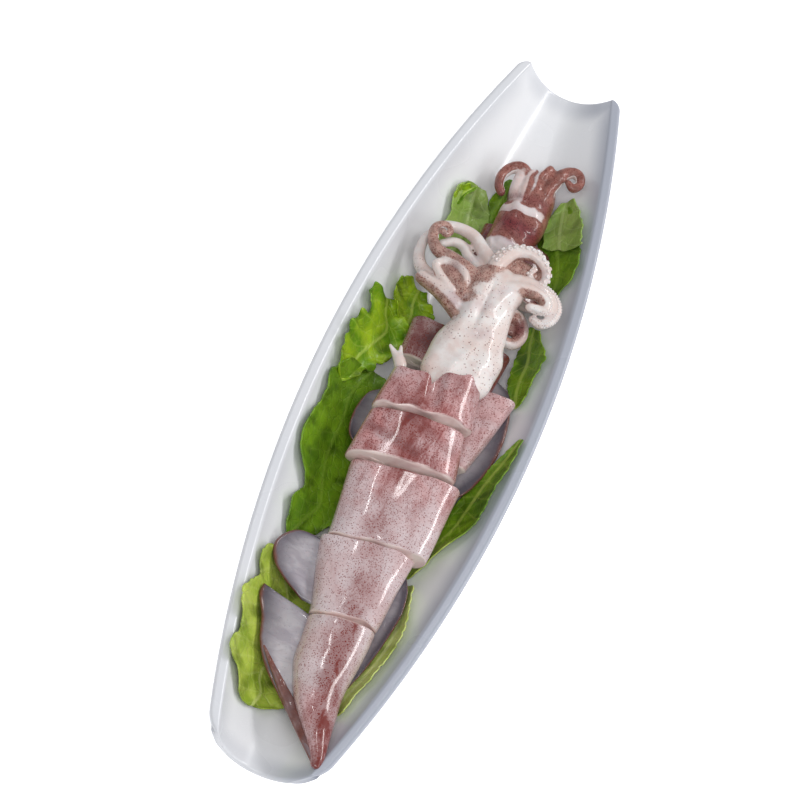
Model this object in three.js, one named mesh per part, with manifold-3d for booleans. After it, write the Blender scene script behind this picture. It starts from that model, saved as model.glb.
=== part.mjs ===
// Two sliced raw squids on lettuce in a long boat-shaped dish.
// Millimetres, +Z up. The origin is on the table under the middle of the dish,
// +Y runs along the dish towards the squids' arms, +X is to the right seen from the tail end.
import * as THREE from 'three';
import { ParametricGeometry } from 'three/addons/geometries/ParametricGeometry.js';
import { mergeGeometries, mergeVertices } from 'three/addons/utils/BufferGeometryUtils.js';
import Module from 'manifold-3d';

const wasm = await Module();
wasm.setup();

// Driving dimensions of the dish.
const dishLength = 400;
const dishWidth = 112;
const dishEndWidth = 53;
const rimHeight = 36;
const rimEndHeight = 38.5;
const floorHeight = 6.6;
const floorEndHeight = 22;
const flatFloorHalf = 90;
const floorRisePower = 1.8;
const wallThickness = 3.6;
const wallCurvePower = 1.75;
const flatShare = 0.3;
const lipWidth = 5;
const lipRise = 0.6;
const tailCornerRadius = 12;
const headCornerRadius = 5;
const footLength = 150;
const footWidth = 44;
const footWall = 4;
const footDepth = 6;

// Driving dimensions of the food.
const gap = 0.35;
const ovalPower = 2.6;
const cutTilt = 0.17;
const finThickness = 3;
const leafThickness = 1.6;
const leafLift = 0.8;
const armSides = 6;
const sliceSides = 18;
const leafColumns = 4;
const stubLength = 11;
const stubWidth = 7;

// Where the front squid's mantle is cut across, from tail to head, at x = 0.
const cutTipB = -119.5;
const cutBC = -80.3;
const cutCD = -39.7;
const cutDE = -13.3;

const { abs, cos, sin, sqrt, pow, PI, exp, min, max, sign } = Math;
const lerp = THREE.MathUtils.lerp;
const smoothstep = THREE.MathUtils.smoothstep;

// ---- helpers -------------------------------------------------------------

// A closed geometry as a solid. Faces that collapse at a pole are dropped.
function solidOf(geometry) {
  const bare = new THREE.BufferGeometry();
  bare.setAttribute('position', geometry.getAttribute('position'));
  bare.setIndex(geometry.getIndex());
  const merged = mergeVertices(bare, 1e-3);
  const index = merged.getIndex().array;
  const kept = [];
  for (let i = 0; i < index.length; i += 3) {
    const [a, b, c] = [index[i], index[i + 1], index[i + 2]];
    if (a !== b && b !== c && c !== a) kept.push(a, b, c);
  }
  const vertProperties = merged.getAttribute('position').array;
  const build = (triVerts) => new wasm.Manifold(new wasm.Mesh({ numProp: 3, vertProperties, triVerts }));
  const solid = build(new Uint32Array(kept));
  return solid.volume() > 0 ? solid : build(new Uint32Array(kept.reverse()));
}

// The one largest body of a solid, after a cut that may leave slivers.
function mainBody(solid) {
  const bodies = solid.decompose();
  bodies.sort((a, b) => b.volume() - a.volume());
  return bodies[0];
}

function cutBy(solid, ...neighbours) {
  return mainBody(neighbours.reduce((left, other) => left.subtract(other), solid));
}

function geometryOf(solid) {
  const mesh = solid.getMesh();
  const geometry = new THREE.BufferGeometry();
  geometry.setAttribute('position', new THREE.BufferAttribute(mesh.vertProperties, 3));
  geometry.setIndex(new THREE.BufferAttribute(mesh.triVerts, 1));
  const flat = geometry.toNonIndexed();
  flat.computeVertexNormals();
  return flat;
}

// A closed skin given as rings of points: point(angle, step) for each step of a profile.
function ringSurface(point, sides, steps) {
  const place = (u, v, target) => {
    const angle = (Math.round(u * sides) % sides) / sides * 2 * PI;
    point(angle, Math.round(v * steps), target);
  };
  return new ParametricGeometry(place, sides, steps);
}

// Cosine and sine pushed out towards a rounded rectangle.
function ovalCos(angle, power = ovalPower) {
  return sign(cos(angle)) * pow(abs(cos(angle)), 2 / power);
}

function ovalSin(angle, power = ovalPower) {
  return sign(sin(angle)) * pow(abs(sin(angle)), 2 / power);
}

// Straight-line value at t from stations [t, value, value, ...].
function stationAt(stations, t) {
  let i = 1;
  while (i < stations.length - 1 && t > stations[i][0]) i += 1;
  const [a, b] = [stations[i - 1], stations[i]];
  const share = THREE.MathUtils.clamp((t - a[0]) / (b[0] - a[0]), 0, 1);
  return a.slice(1).map((value, k) => lerp(value, b[k + 1], share));
}

// ---- dish ----------------------------------------------------------------

const sideSag = (dishWidth - dishEndWidth) / 2;
const sideRadius = (dishLength * dishLength / 4 + sideSag * sideSag) / (2 * sideSag);

function halfWidth(y) {
  return dishWidth / 2 - (sideRadius - sqrt(sideRadius * sideRadius - y * y));
}

// How much a rounded plan corner takes off the half width near the end.
function cornerTrim(y) {
  const radius = y < 0 ? tailCornerRadius : headCornerRadius;
  const into = max(0, abs(y) - (dishLength / 2 - radius));
  return radius - sqrt(max(0, radius * radius - into * into));
}

function floorAt(y) {
  const along = max(0, (abs(y) - flatFloorHalf) / (dishLength / 2 - flatFloorHalf));
  return floorHeight + (floorEndHeight - floorHeight) * pow(along, floorRisePower);
}

function rimAt(y) {
  return rimHeight + (rimEndHeight - rimHeight) * pow(2 * y / dishLength, 2);
}

// Height of the eating surface: flat in the middle, then a power curve up to the lip.
function dishTop(x, y) {
  const across = min(1, abs(x) / (halfWidth(y) - lipWidth));
  const flat = flatShare * (1 - pow(abs(2 * y / dishLength), 3));
  const climb = pow(max(0, across - flat) / (1 - flat), wallCurvePower);
  const onLip = max(0, abs(x) - (halfWidth(y) - lipWidth)) / lipWidth;
  return floorAt(y) + (rimAt(y) - lipRise - floorAt(y)) * climb + lipRise * onLip;
}

function dishSlope(x, y) {
  const step = 0.5;
  return (dishTop(x + step, y) - dishTop(x - step, y)) / (2 * step);
}

const dishColumns = [-1, -0.9, -0.78, -0.66, -0.54, -0.4, -0.22, 0, 0.22, 0.4, 0.54, 0.66, 0.78, 0.9, 1];
const dishRows = [0.16, 0.32, 0.47, 0.61, 0.74, 0.86, 0.94, 0.98, 1];

function makeDish() {
  const rows = [...dishRows.map((t) => -t).reverse(), 0, ...dishRows];
  const columns = dishColumns.length + 2;
  const point = (column, row, under, target) => {
    const y = rows[row] * dishLength / 2;
    const edge = halfWidth(y) - cornerTrim(y);
    const crease = edge - max(1, lipWidth - cornerTrim(y));
    const onEdge = column === 0 || column === columns - 1;
    const side = column < columns / 2 ? -1 : 1;
    const x = onEdge ? side * edge : dishColumns[column - 1] * crease;
    const z = dishTop(x, y);
    const slope = onEdge ? 0 : dishSlope(x * 0.985, y);
    const length = sqrt(1 + slope * slope);
    const drop = under ? wallThickness : 0;
    target.set(x + drop * slope / length, y, z - drop / length);
  };
  const last = columns - 1;
  const lastRow = rows.length - 1;
  // Over the top from left to right, then back underneath.
  const skin = new ParametricGeometry((u, v, target) => {
    const k = Math.round(u * 2 * columns) % (2 * columns);
    point(k <= last ? k : 2 * columns - 1 - k, Math.round(v * lastRow), k > last, target);
  }, 2 * columns, lastRow);
  const endWall = (row) => new ParametricGeometry((u, v, target) => {
    point(Math.round(u * last), row, row === 0 ? v < 0.5 : v > 0.5, target);
  }, last, 1);
  const shell = solidOf(mergeGeometries([skin, endWall(0), endWall(lastRow)]));
  const foot = stadium(footLength, footWidth);
  foot.holes.push(stadium(footLength - 2 * footWall, footWidth - 2 * footWall));
  const ring = new THREE.ExtrudeGeometry(foot, { depth: footDepth, bevelEnabled: false, curveSegments: 10 });
  return shell.add(solidOf(ring).subtract(aboveDish()));
}

// A long outline with half-round ends, along Y.
function stadium(length, width) {
  const straight = (length - width) / 2;
  const shape = new THREE.Shape();
  shape.absarc(0, straight, width / 2, 0, PI, false);
  shape.absarc(0, -straight, width / 2, PI, 2 * PI, false);
  shape.closePath();
  return shape;
}

// The space over the flat floor, so that the foot ring doesn't rise through it.
function aboveDish() {
  const block = new THREE.BoxGeometry(2 * footWidth, 2 * footLength, 40);
  block.translate(0, 0, 20 + floorHeight - wallThickness / 2);
  return solidOf(block);
}

// ---- mantles ---------------------------------------------------------------

// Rounding of a slice's two cut edges: [share of the length, share of the section].
const sliceProfile = [
  [0, 0], [0, 0.84], [0.03, 0.95], [0.09, 1], [0.36, 1], [0.64, 1], [0.9, 1], [0.97, 0.97], [1, 0.9], [1, 0],
];

// One slice of a mantle: a soft oval section carried from its tail cut to its head cut.
function makeSlice({ tail, head, tailCut, headCut, roll = 0, dent }, grow = 0, sides = sliceSides) {
  return solidOf(ringSurface((angle, step, target) => {
    const [t, k] = sliceProfile[step];
    const [cx, hw, cz, hz] = tail.map((value, i) => lerp(value, head[i], t));
    const x0 = k * (hw + grow) * ovalCos(angle);
    const z0 = k * (hz + grow) * ovalSin(angle);
    const x = cx + x0 * cos(roll) - z0 * sin(roll);
    const z = cz + x0 * sin(roll) + z0 * cos(roll);
    const y = lerp(tailCut(x) - 2 * grow, headCut(x) + 2 * grow, t);
    const sink = dent && z0 > 0 ? dent(x, y) * k : 0;
    target.set(x, y, z - sink);
  }, sides, sliceProfile.length - 1));
}

const cutAt = (y0, tilt = cutTilt, side = 0) => (x) => y0 + tilt * x + side * gap / 2;

// The head opening of the first slice: a low left flap, a notch and a raised right flap.
function collarEdge(x) {
  return 8.5 - 5 * exp(-pow((x + 1.5) / 3.5, 2)) + 9 * exp(-pow((x - 15) / 7, 2));
}

// The furrow between the two rolled flaps of the first slice.
function collarDent(x, y) {
  const middle = 2.5 - 0.12 * y;
  return 4 * exp(-pow((x - middle) / 3.2, 2)) * smoothstep(y, -16, 4);
}

// Each end is [middle x, half width, middle z, half height].
const frontSlices = {
  front_slice_b: {
    tail: [7.5, 15.8, 25.5, 8.6], head: [4.2, 22, 27, 8.8],
    tailCut: cutAt(cutTipB, cutTilt, 1), headCut: cutAt(cutBC, cutTilt, -1),
  },
  front_slice_c: {
    tail: [7.4, 23.4, 28, 9.4], head: [6.2, 26.3, 30, 9],
    tailCut: cutAt(cutBC, cutTilt, 1), headCut: cutAt(cutCD, cutTilt, -1),
  },
  front_slice_d: {
    tail: [2.3, 26.2, 33, 11], head: [1, 22.6, 35.5, 9],
    tailCut: cutAt(cutCD, cutTilt, 1), headCut: cutAt(cutDE, cutTilt, -1),
  },
  front_slice_e: {
    tail: [1.9, 24.2, 37.5, 11], head: [1.3, 21.2, 38, 9.5],
    tailCut: cutAt(cutDE, cutTilt, 1), headCut: collarEdge, dent: collarDent,
  },
};

// The tail cone as stations [y, middle x, half width, middle z, half height].
const tipStations = [
  [-194, 22.6, 0, 37.4, 0], [-192.5, 22.3, 2, 37.2, 1.6], [-187, 21.4, 3.6, 36.4, 2.8],
  [-178, 17.8, 6, 34, 4.4], [-166, 12.8, 9.6, 30.6, 6], [-150, 9, 12.8, 27.6, 7.4],
  [-135, 8, 14.8, 26, 8], [-122, 7.6, 15.7, 25.3, 8.4],
];

function makeTip(grow = 0) {
  const headSteps = [[0, 1], [0.03, 0.96], [0.03, 0.5], [0.03, 0]];
  const steps = tipStations.length + headSteps.length - 1;
  return solidOf(ringSurface((angle, step, target) => {
    const onCone = step < tipStations.length;
    const [y0, cx, hw, cz, hz] = tipStations[min(step, tipStations.length - 1)];
    const k = onCone ? 1 : headSteps[step - tipStations.length][1];
    const x = cx + k * (hw + (hw > 0 ? grow : 0)) * ovalCos(angle, 2.3);
    const z = cz + k * (hz + (hz > 0 ? grow : 0)) * ovalSin(angle, 2.3);
    const nearCut = smoothstep(y0, -150, -122);
    const y = onCone ? y0 + nearCut * (cutTilt * x) : cutAt(cutTipB, cutTilt, -1)(x) + grow;
    target.set(x, y, z);
  }, 16, steps));
}

// ---- fins, leaves and other sheets ---------------------------------------------

// A closed sheet between two surfaces: at(u, v) is its middle, half is half its thickness.
function makeSheet(at, half, across, along) {
  const middle = new THREE.Vector3();
  const outline = 2 * across + 2;
  const skin = new ParametricGeometry((u, v, target) => {
    const k = Math.round(u * outline) % outline;
    const top = k <= across;
    at((top ? k : outline - 1 - k) / across, Math.round(v * along) / along, middle);
    target.set(middle.x, middle.y, middle.z + (top ? half : -half));
  }, outline, along);
  const end = (v) => new ParametricGeometry((u, side, target) => {
    at(Math.round(u * across) / across, v, middle);
    const up = v > 0 ? side > 0.5 : side < 0.5;
    target.set(middle.x, middle.y, middle.z + (up ? -half : half));
  }, across, 1);
  return solidOf(mergeGeometries([skin, end(0), end(1)]));
}

const curveOf = (points) => new THREE.CatmullRomCurve3(points.map((p) => new THREE.Vector3(...p)));

// A fin: from a root line inside the mantle out to its free margin.
function makeFin({ root, margin, wave = 0.8 }, grow = 0) {
  const [inner, outer] = [curveOf(root), curveOf(margin)];
  return makeSheet((u, v, target) => {
    target.copy(inner.getPoint(v)).lerp(outer.getPoint(v), u);
    target.z += wave * sin(5 * v + 3 * u) * u * (1 - u) * 4;
  }, finThickness / 2 + grow, 3, 9);
}

const fins = {
  tipLeft: {
    root: [[2, -122, 23], [3, -140, 24], [6, -155, 26], [12, -170, 30], [21, -188, 36.4]],
    margin: [
      [-32, -118.5, 30], [-32, -124, 30], [-27, -132, 28], [-23, -143, 26], [-16, -153, 25.4],
      [-5, -164, 26.5], [7, -176.5, 30.5], [16, -187, 35.5], [21.5, -192, 37],
    ],
  },
  sliceLeft: {
    root: [[-2, -85.5, 24], [-1, -95, 24], [0, -105, 24], [2, -116, 24]],
    margin: [
      [-17, -84.5, 27], [-27, -85, 28], [-33, -90, 28.5], [-35.5, -97, 28.5], [-32, -105, 28],
      [-24, -111, 27], [-14, -116, 26],
    ],
  },
  right: {
    root: [[19, -80, 18], [18, -100, 18], [17, -120, 18.5], [16, -146, 21]],
    margin: [
      [26, -82, 22.5], [29.2, -90, 24], [30.6, -101, 24.6], [29, -116, 24.6], [26, -132, 24.8],
      [21.5, -148, 25],
    ],
  },
};

// ---- heads and arms --------------------------------------------------------------

// A lump of flesh as oval sections at stations [y, middle x, half width, middle z, half height].
function makeBody(stations, grow = 0, sides = 14, power = 2.2) {
  return solidOf(ringSurface((angle, step, target) => {
    const [y, cx, hw, cz, hz] = stations[step];
    const swell = hw > 0 ? grow : 0;
    target.set(cx + (hw + swell) * ovalCos(angle, power), y, cz + (hz + swell) * ovalSin(angle, power));
  }, sides, stations.length - 1));
}

// An arm: a round section that thins from the root radius to the tip radius along a smooth route.
function makeArm({ route, radius: [rootRadius, tipRadius], steps = 8 }, grow = 0) {
  const curve = curveOf(route);
  const frames = curve.computeFrenetFrames(steps, false);
  return solidOf(ringSurface((angle, step, target) => {
    const onEnd = step === 0 || step === steps + 2;
    const k = THREE.MathUtils.clamp(step - 1, 0, steps);
    const radius = onEnd ? 0 : lerp(rootRadius, tipRadius, k / steps) + grow;
    target.copy(curve.getPointAt(k / steps));
    target.addScaledVector(frames.normals[k], radius * cos(angle));
    target.addScaledVector(frames.binormals[k], radius * sin(angle));
  }, armSides, steps + 2));
}

// The head of the first squid, funnel side up, with its arms.
const frontHead = {
  body: [
    [-1, 7, 0, 36, 0], [-1, 7, 12, 36, 6], [8, 8, 16.5, 36.6, 8], [18, 8.5, 17.5, 37, 9], [28, 9, 17.6, 37, 9],
    [35, 8.8, 15.6, 37, 9], [44, 9.5, 13.4, 37.5, 9], [53, 8.8, 13, 38, 9.4],
    [61, 7, 14, 38.6, 9.4], [68, 7.5, 15, 39, 8], [75, 8, 11.5, 39.5, 6], [80, 7.5, 5, 39.5, 4], [81, 7.5, 0, 39.5, 0],
  ],
  arms: {
    leftCurl: {
      route: [
        [2, 66, 40], [-8, 71, 41], [-17, 73, 41], [-24.5, 73.5, 40], [-29, 80, 39],
        [-30, 87, 38.5], [-26.5, 91, 38.5], [-22.8, 88.5, 39], [-24, 84.5, 40], [-26.5, 85.5, 41],
      ],
      radius: [5, 1.8], steps: 13,
    },
    leftHollow: {
      route: [[-2, 60, 42], [-8, 68, 44], [-14, 72, 44], [-20, 71, 43], [-23, 67, 42], [-19, 63, 42], [-12, 59, 42]],
      radius: [3.4, 2.2],
    },
    leftStripe: {
      route: [[0, 49, 38], [-9, 54, 40], [-20, 60, 38], [-28, 63.5, 35], [-32, 72, 33], [-33, 82, 33]],
      radius: [5.2, 2.4],
    },
    tentacleUpper: {
      route: [[8, 76, 38], [2, 82, 38], [-4, 87, 37], [-11, 93, 36.5], [-18, 94.5, 36], [-25, 93.5, 35], [-29.5, 91, 33]],
      radius: [4, 2.6],
    },
    tentacleLower: {
      route: [[6, 74, 35], [-2, 78, 34.5], [-9, 82, 33.5], [-13.5, 87, 33], [-19, 87.5, 33], [-24, 83.5, 33]],
      radius: [3.3, 2.2],
    },
    suckerLoop: {
      route: [
        [5, 69, 41], [5.5, 78, 42], [8.5, 86, 43], [14, 91, 43], [21, 90.5, 43], [27, 86, 42],
        [28, 80.5, 41], [24.5, 78, 41], [20.5, 81, 42], [22, 84.5, 43],
      ],
      radius: [4.4, 1.6], steps: 14,
    },
    outerRight: {
      route: [
        [9, 70, 40], [16, 75.5, 41], [25, 77, 41], [33, 76.5, 40], [38.2, 71.5, 39], [38.2, 64.5, 38],
        [34.5, 60.5, 37.5], [30.5, 61.5, 37.5],
      ],
      radius: [4.6, 2.2], steps: 11,
    },
    innerRight: {
      route: [[11, 66, 42], [20, 71.5, 43], [28, 73, 42.5], [33.4, 70, 42], [33, 66, 42], [27, 64.5, 42]],
      radius: [4.4, 2.3],
    },
    lowRight: {
      route: [[16, 60, 34], [24, 62, 32], [29.5, 56.5, 30.5], [30, 51, 30], [27, 48, 30], [22, 47.6, 31]],
      radius: [3.6, 2.4],
    },
  },
};

// The head of the second squid, beyond the first one's arms.
const rearHead = {
  body: [
    [94, 3, 0, 24, 0], [94, 3, 7, 24, 4], [101, 3.5, 9.5, 24, 6.5], [109, 5.2, 11.3, 23, 8.6], [118, 6.3, 12.4, 22, 10],
    [125, 6.5, 12.4, 22, 10], [129, 7, 11.4, 21.8, 9.6], [134, 6.4, 12, 21.6, 9.6], [141, 5.8, 11.6, 21.6, 8.2],
    [147, 5.4, 9.4, 22, 6.4], [150, 5.2, 5, 22, 4], [151, 5.2, 0, 22, 0],
  ],
  arms: {
    leftCurl: {
      route: [[2, 143, 25], [-4, 148, 25.5], [-9, 146.5, 25], [-12, 141, 24.5], [-11.5, 135, 24], [-9, 131.5, 24]],
      radius: [3.6, 2.2],
    },
    paleUnderside: { route: [[1, 128, 25], [-2.5, 134, 25.5], [-3.5, 141, 26], [-3, 147, 25.5]], radius: [3.4, 2.6], steps: 5 },
    middleLeft: { route: [[2, 128, 28], [2, 136, 28], [1.5, 143, 27.5], [2.5, 149, 26]], radius: [3.2, 2.4], steps: 5 },
    middle: { route: [[6, 128, 28], [6.5, 138, 28], [6, 146, 27.5], [8.5, 153, 27]], radius: [3.6, 3], steps: 5 },
    middleRight: { route: [[11, 128, 27], [11.5, 138, 27], [11, 146, 27], [10.5, 152, 27]], radius: [3.6, 3], steps: 5 },
    rightCurl: {
      route: [
        [10, 136, 26], [13, 146, 27], [15, 152, 28], [19, 156, 29], [23, 155.5, 29.5],
        [25, 151, 29.5], [22.5, 147.5, 29.5], [19.5, 149, 30],
      ],
      radius: [4.2, 1.9], steps: 11,
    },
  },
};

function makeHead({ body, arms }, grow = 0) {
  return Object.values(arms).reduce((head, arm) => head.add(makeArm(arm, grow)), makeBody(body, grow));
}

// ---- second squid's body, under the first ------------------------------------------

const rearSlices = {
  rear_slice_side: {
    tail: [22.5, 9, 24, 4.6], head: [27.2, 13.2, 28.4, 6.2],
    tailCut: cutAt(-24, 0.1), headCut: cutAt(17, 0.1), roll: 0.22,
  },
  rear_slice_middle: {
    tail: [3.2, 24.5, 17, 7.4], head: [3.4, 25.4, 17.4, 7.6],
    tailCut: cutAt(25.4, 0.02), headCut: cutAt(50, 0.02),
  },
  rear_slice_head: {
    tail: [10, 20.6, 17, 6], head: [8.6, 18.6, 17, 6.6],
    tailCut: cutAt(82, -0.05), headCut: cutAt(114.5, -0.12),
  },
};

const rearTailBody = [
  [-38, 4, 0, 15, 0], [-36, 4, 7, 15, 2], [-24, 4, 15, 15.4, 3.4], [0, 4, 20, 15.6, 3.8], [18, 4, 21, 15.6, 4],
  [22.5, 4, 20, 15.6, 4], [22.5, 4, 0, 15.6, 0],
];

const rearFins = [
  {
    root: [[-8, -28, 16], [-10, -14, 16.5], [-10, 4, 16.5]],
    margin: [[-22, -28, 19], [-27, -23, 20.5], [-28.5, -12, 21], [-26, 0, 20.5], [-20, 6, 19]],
  },
  {
    root: [[16, -34, 15], [16, -10, 16], [16, 14, 16.4], [22, 33, 15.4]],
    margin: [[31, -34, 20.5], [36.5, -26, 23], [40.6, -12, 25.5], [41.4, 2, 26], [39, 18, 24.8], [35, 30, 21], [28, 36.5, 17]],
    wave: 0.4,
  },
];

// A short forked scrap of flesh on the lettuce.
function makeStub() {
  const outline = new THREE.Shape();
  outline.moveTo(0, 0);
  outline.bezierCurveTo(stubWidth * 0.5, 0, stubWidth * 0.7, stubLength * 0.5, stubWidth * 0.55, stubLength);
  outline.lineTo(stubWidth * 0.2, stubLength * 0.8);
  outline.lineTo(-stubWidth * 0.2, stubLength * 1.05);
  outline.bezierCurveTo(-stubWidth * 0.5, stubLength * 0.6, -stubWidth * 0.5, 0, 0, 0);
  const geometry = new THREE.ExtrudeGeometry(outline, {
    depth: 2, bevelThickness: 1, bevelSize: 0.8, bevelSegments: 2, curveSegments: 5,
  });
  geometry.rotateX(-0.12);
  geometry.rotateZ(0.75);
  geometry.translate(-16.5, 10, 34);
  return solidOf(geometry);
}

// ---- lettuce -------------------------------------------------------------------------

// A leaf lies on the dish between two edge lines in plan, with a lift on each side and a ruffled edge.
function makeLeaf({ left, right, lift = [0, 0], ruffle = 0.8, waves = 3, steps = 9 }, grow = 0) {
  const [leftLine, rightLine] = [left, right].map((line) => curveOf(line.map(([x, y]) => [x, y, 0])));
  return makeSheet((u, v, target) => {
    target.lerpVectors(leftLine.getPointAt(v), rightLine.getPointAt(v), u);
    const side = 2 * u - 1;
    const edge = pow(abs(side), 2);
    const rise = lerp(lift[0], lift[1], u) * edge;
    const wavy = ruffle * edge * (1 + sin(2 * PI * waves * v + side));
    target.z = dishTop(target.x, target.y) + leafLift + leafThickness / 2 + rise + wavy;
  }, leafThickness / 2 + grow, leafColumns, steps);
}

const leaves = {
  leaf_top_left: {
    left: [[-25, 131], [-28.5, 124], [-29, 117], [-27, 109], [-28, 100], [-26, 90]],
    right: [[-17, 135], [-11, 128], [-8, 119], [-7, 110], [-8, 99], [-10, 90]],
    lift: [2.5, 1],
  },
  leaf_top_strip: {
    left: [[-7, 148], [-11, 139], [-12, 127], [-12, 117]],
    right: [[-4, 148], [-2, 139], [-3, 127], [-4, 117]],
    ruffle: 0.3, steps: 6,
  },
  leaf_top_right: {
    left: [[20, 139], [18, 131], [17.5, 121], [20, 114], [25, 105], [29, 96], [32, 86]],
    right: [[24, 141], [28, 134], [33, 125], [37, 115], [39, 104], [39, 95], [35, 86]],
    lift: [1, 2.5],
  },
  leaf_frill: {
    left: [[-41, 50], [-45.5, 42], [-42, 35], [-46, 25], [-46.5, 9], [-43, -3]],
    right: [[-33, 51], [-25, 46], [-20, 39], [-22, 28], [-29, 15], [-37, -1]],
    lift: [4, 2.5], ruffle: 1.6, waves: 4, steps: 11,
  },
  leaf_fold: {
    left: [[-29, 67], [-35, 60], [-34.5, 52], [-29, 46]],
    right: [[-21, 67], [-15, 60], [-12, 53], [-17, 47]],
    lift: [5, 1.5], ruffle: 1.2, steps: 7,
  },
  leaf_long_left: {
    left: [[-38, 13], [-46, -5], [-44, -16], [-46, -37], [-43, -49], [-35, -59], [-37, -70], [-34, -85]],
    right: [[-20, 16], [-21, 0], [-20, -14], [-17, -35], [-14, -52], [-15, -66], [-21, -76], [-29, -85]],
    lift: [2.5, 0.5], ruffle: 1, waves: 4, steps: 13,
  },
  leaf_low_left: {
    left: [[-37, -97], [-38.5, -108], [-35.5, -117], [-39.5, -131], [-33, -145], [-34, -158], [-26, -165], [-20, -174]],
    right: [[-20, -95], [-8, -104], [0, -113], [2, -127], [2, -142], [1, -154], [1, -162], [-8, -170]],
    lift: [2.5, 0.5], ruffle: 1, waves: 4, steps: 12,
  },
  leaf_mid_right: {
    left: [[31, 72], [30.5, 61], [31, 51], [31.5, 41], [34, 31], [38.5, 23]],
    right: [[35.5, 68], [38.5, 60], [43, 49], [42, 38], [41.5, 24]],
    lift: [0.5, 3],
  },
  leaf_long_right: {
    left: [[47.5, 3], [42, -9], [37, -20], [33, -34], [29, -50], [26, -64], [24.5, -78]],
    right: [[49, 2], [48, -12], [46, -26], [45, -38], [43, -51], [35, -62], [28, -79]],
    lift: [0.5, 4], steps: 12,
  },
  leaf_low_right: {
    left: [[25.5, -81], [27.5, -92], [28.5, -103], [28.5, -114], [26.5, -127], [23, -141], [19.5, -151], [19, -161]],
    right: [[30, -82], [31.5, -92], [33.3, -104], [34, -115], [32, -128], [28.5, -142], [25.5, -152], [23.5, -163]],
    lift: [0.5, 4], ruffle: 0.4, steps: 10,
  },
};

// ---- assembly --------------------------------------------------------------------------

const looks = {
  dish: { color: 0xe9e9ee, roughness: 0.22 },
  skin: { color: 0xc9a3a3, roughness: 0.35 },
  flesh: { color: 0xe6d6cd, roughness: 0.35 },
  arms: { color: 0xb9948c, roughness: 0.35 },
  fin: { color: 0xa9a3ad, roughness: 0.3 },
  lettuceGreen: { color: 0x4f7d1c, roughness: 0.45 },
  lettucePale: { color: 0x9ab646, roughness: 0.45 },
};

const platter = new THREE.Group();

function place(name, solid, look) {
  const material = new THREE.MeshStandardMaterial({ ...looks[look], metalness: 0 });
  const mesh = new THREE.Mesh(geometryOf(solid), material);
  mesh.name = name;
  platter.add(mesh);
}

// Every piece is also made a little larger, to cut its neighbours clear of it.
const room = [];

function settle(name, make, look) {
  place(name, cutBy(make(0), ...room), look);
  room.push(make(gap));
}

const dish = makeDish();
place('dish', dish, 'dish');
room.push(dish.add(dish.translate([0, 0, gap])));
settle('front_tail', (grow) => makeTip(grow).add(makeFin(fins.tipLeft, grow)), 'skin');
settle('front_slice_b', (grow) => makeSlice(frontSlices.front_slice_b, grow)
  .add(makeFin(fins.sliceLeft, grow)), 'skin');
for (const name of ['front_slice_c', 'front_slice_d', 'front_slice_e']) {
  settle(name, (grow) => makeSlice(frontSlices[name], grow), 'skin');
}
settle('front_head', (grow) => makeHead(frontHead, grow), 'flesh');
settle('rear_head', (grow) => makeHead(rearHead, grow), 'arms');
for (const name of Object.keys(rearSlices)) {
  settle(name, (grow) => makeSlice(rearSlices[name], grow, 16), 'skin');
}
settle('rear_tail', (grow) => rearFins.reduce(
  (body, fin) => body.add(makeFin(fin, grow)), makeBody(rearTailBody, grow)), 'fin');
settle('front_fin_right', (grow) => makeFin(fins.right, grow), 'fin');
settle('flesh_stub', makeStub, 'flesh');
for (const [name, leaf] of Object.entries(leaves)) {
  settle(name, (grow) => makeLeaf(leaf, grow), name.includes('low') ? 'lettucePale' : 'lettuceGreen');
}

export default platter;
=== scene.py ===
import math

import bpy
import numpy as np
from mathutils import Matrix, Vector


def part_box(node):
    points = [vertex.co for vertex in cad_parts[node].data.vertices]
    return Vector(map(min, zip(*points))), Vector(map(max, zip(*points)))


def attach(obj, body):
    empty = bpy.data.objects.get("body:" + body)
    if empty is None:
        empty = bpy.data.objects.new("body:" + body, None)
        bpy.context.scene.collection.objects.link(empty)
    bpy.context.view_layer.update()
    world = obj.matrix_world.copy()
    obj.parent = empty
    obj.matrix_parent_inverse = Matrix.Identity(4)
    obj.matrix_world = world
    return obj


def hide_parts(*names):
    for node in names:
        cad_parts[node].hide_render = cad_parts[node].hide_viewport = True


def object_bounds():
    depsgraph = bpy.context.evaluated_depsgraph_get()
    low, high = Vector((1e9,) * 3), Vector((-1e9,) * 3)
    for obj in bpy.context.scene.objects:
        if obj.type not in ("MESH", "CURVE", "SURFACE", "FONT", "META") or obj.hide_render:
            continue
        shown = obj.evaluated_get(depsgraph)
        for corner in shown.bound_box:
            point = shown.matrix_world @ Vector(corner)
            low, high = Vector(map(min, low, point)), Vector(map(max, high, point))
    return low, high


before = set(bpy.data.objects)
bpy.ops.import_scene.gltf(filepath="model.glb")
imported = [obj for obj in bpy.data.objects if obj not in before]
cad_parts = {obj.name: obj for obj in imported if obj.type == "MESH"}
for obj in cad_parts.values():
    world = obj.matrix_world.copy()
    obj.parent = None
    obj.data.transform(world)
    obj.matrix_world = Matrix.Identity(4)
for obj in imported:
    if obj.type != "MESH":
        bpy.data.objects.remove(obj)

# Two sliced raw squids on lettuce in a long white dish.
# Shapes are worked out in millimetres, then fitted to the box of the frame node they stand for.

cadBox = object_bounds()
scene = bpy.context.scene
mm = 0.001


def screenColour(red, green, blue):  # screen colour, 0 to 255, to the linear colour a shader wants
    value = np.array([red, green, blue]) / 255
    linear = np.where(value <= 0.04045, value / 12.92, ((value + 0.055) / 1.055) ** 2.4)
    return (*linear.tolist(), 1.0)


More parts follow.
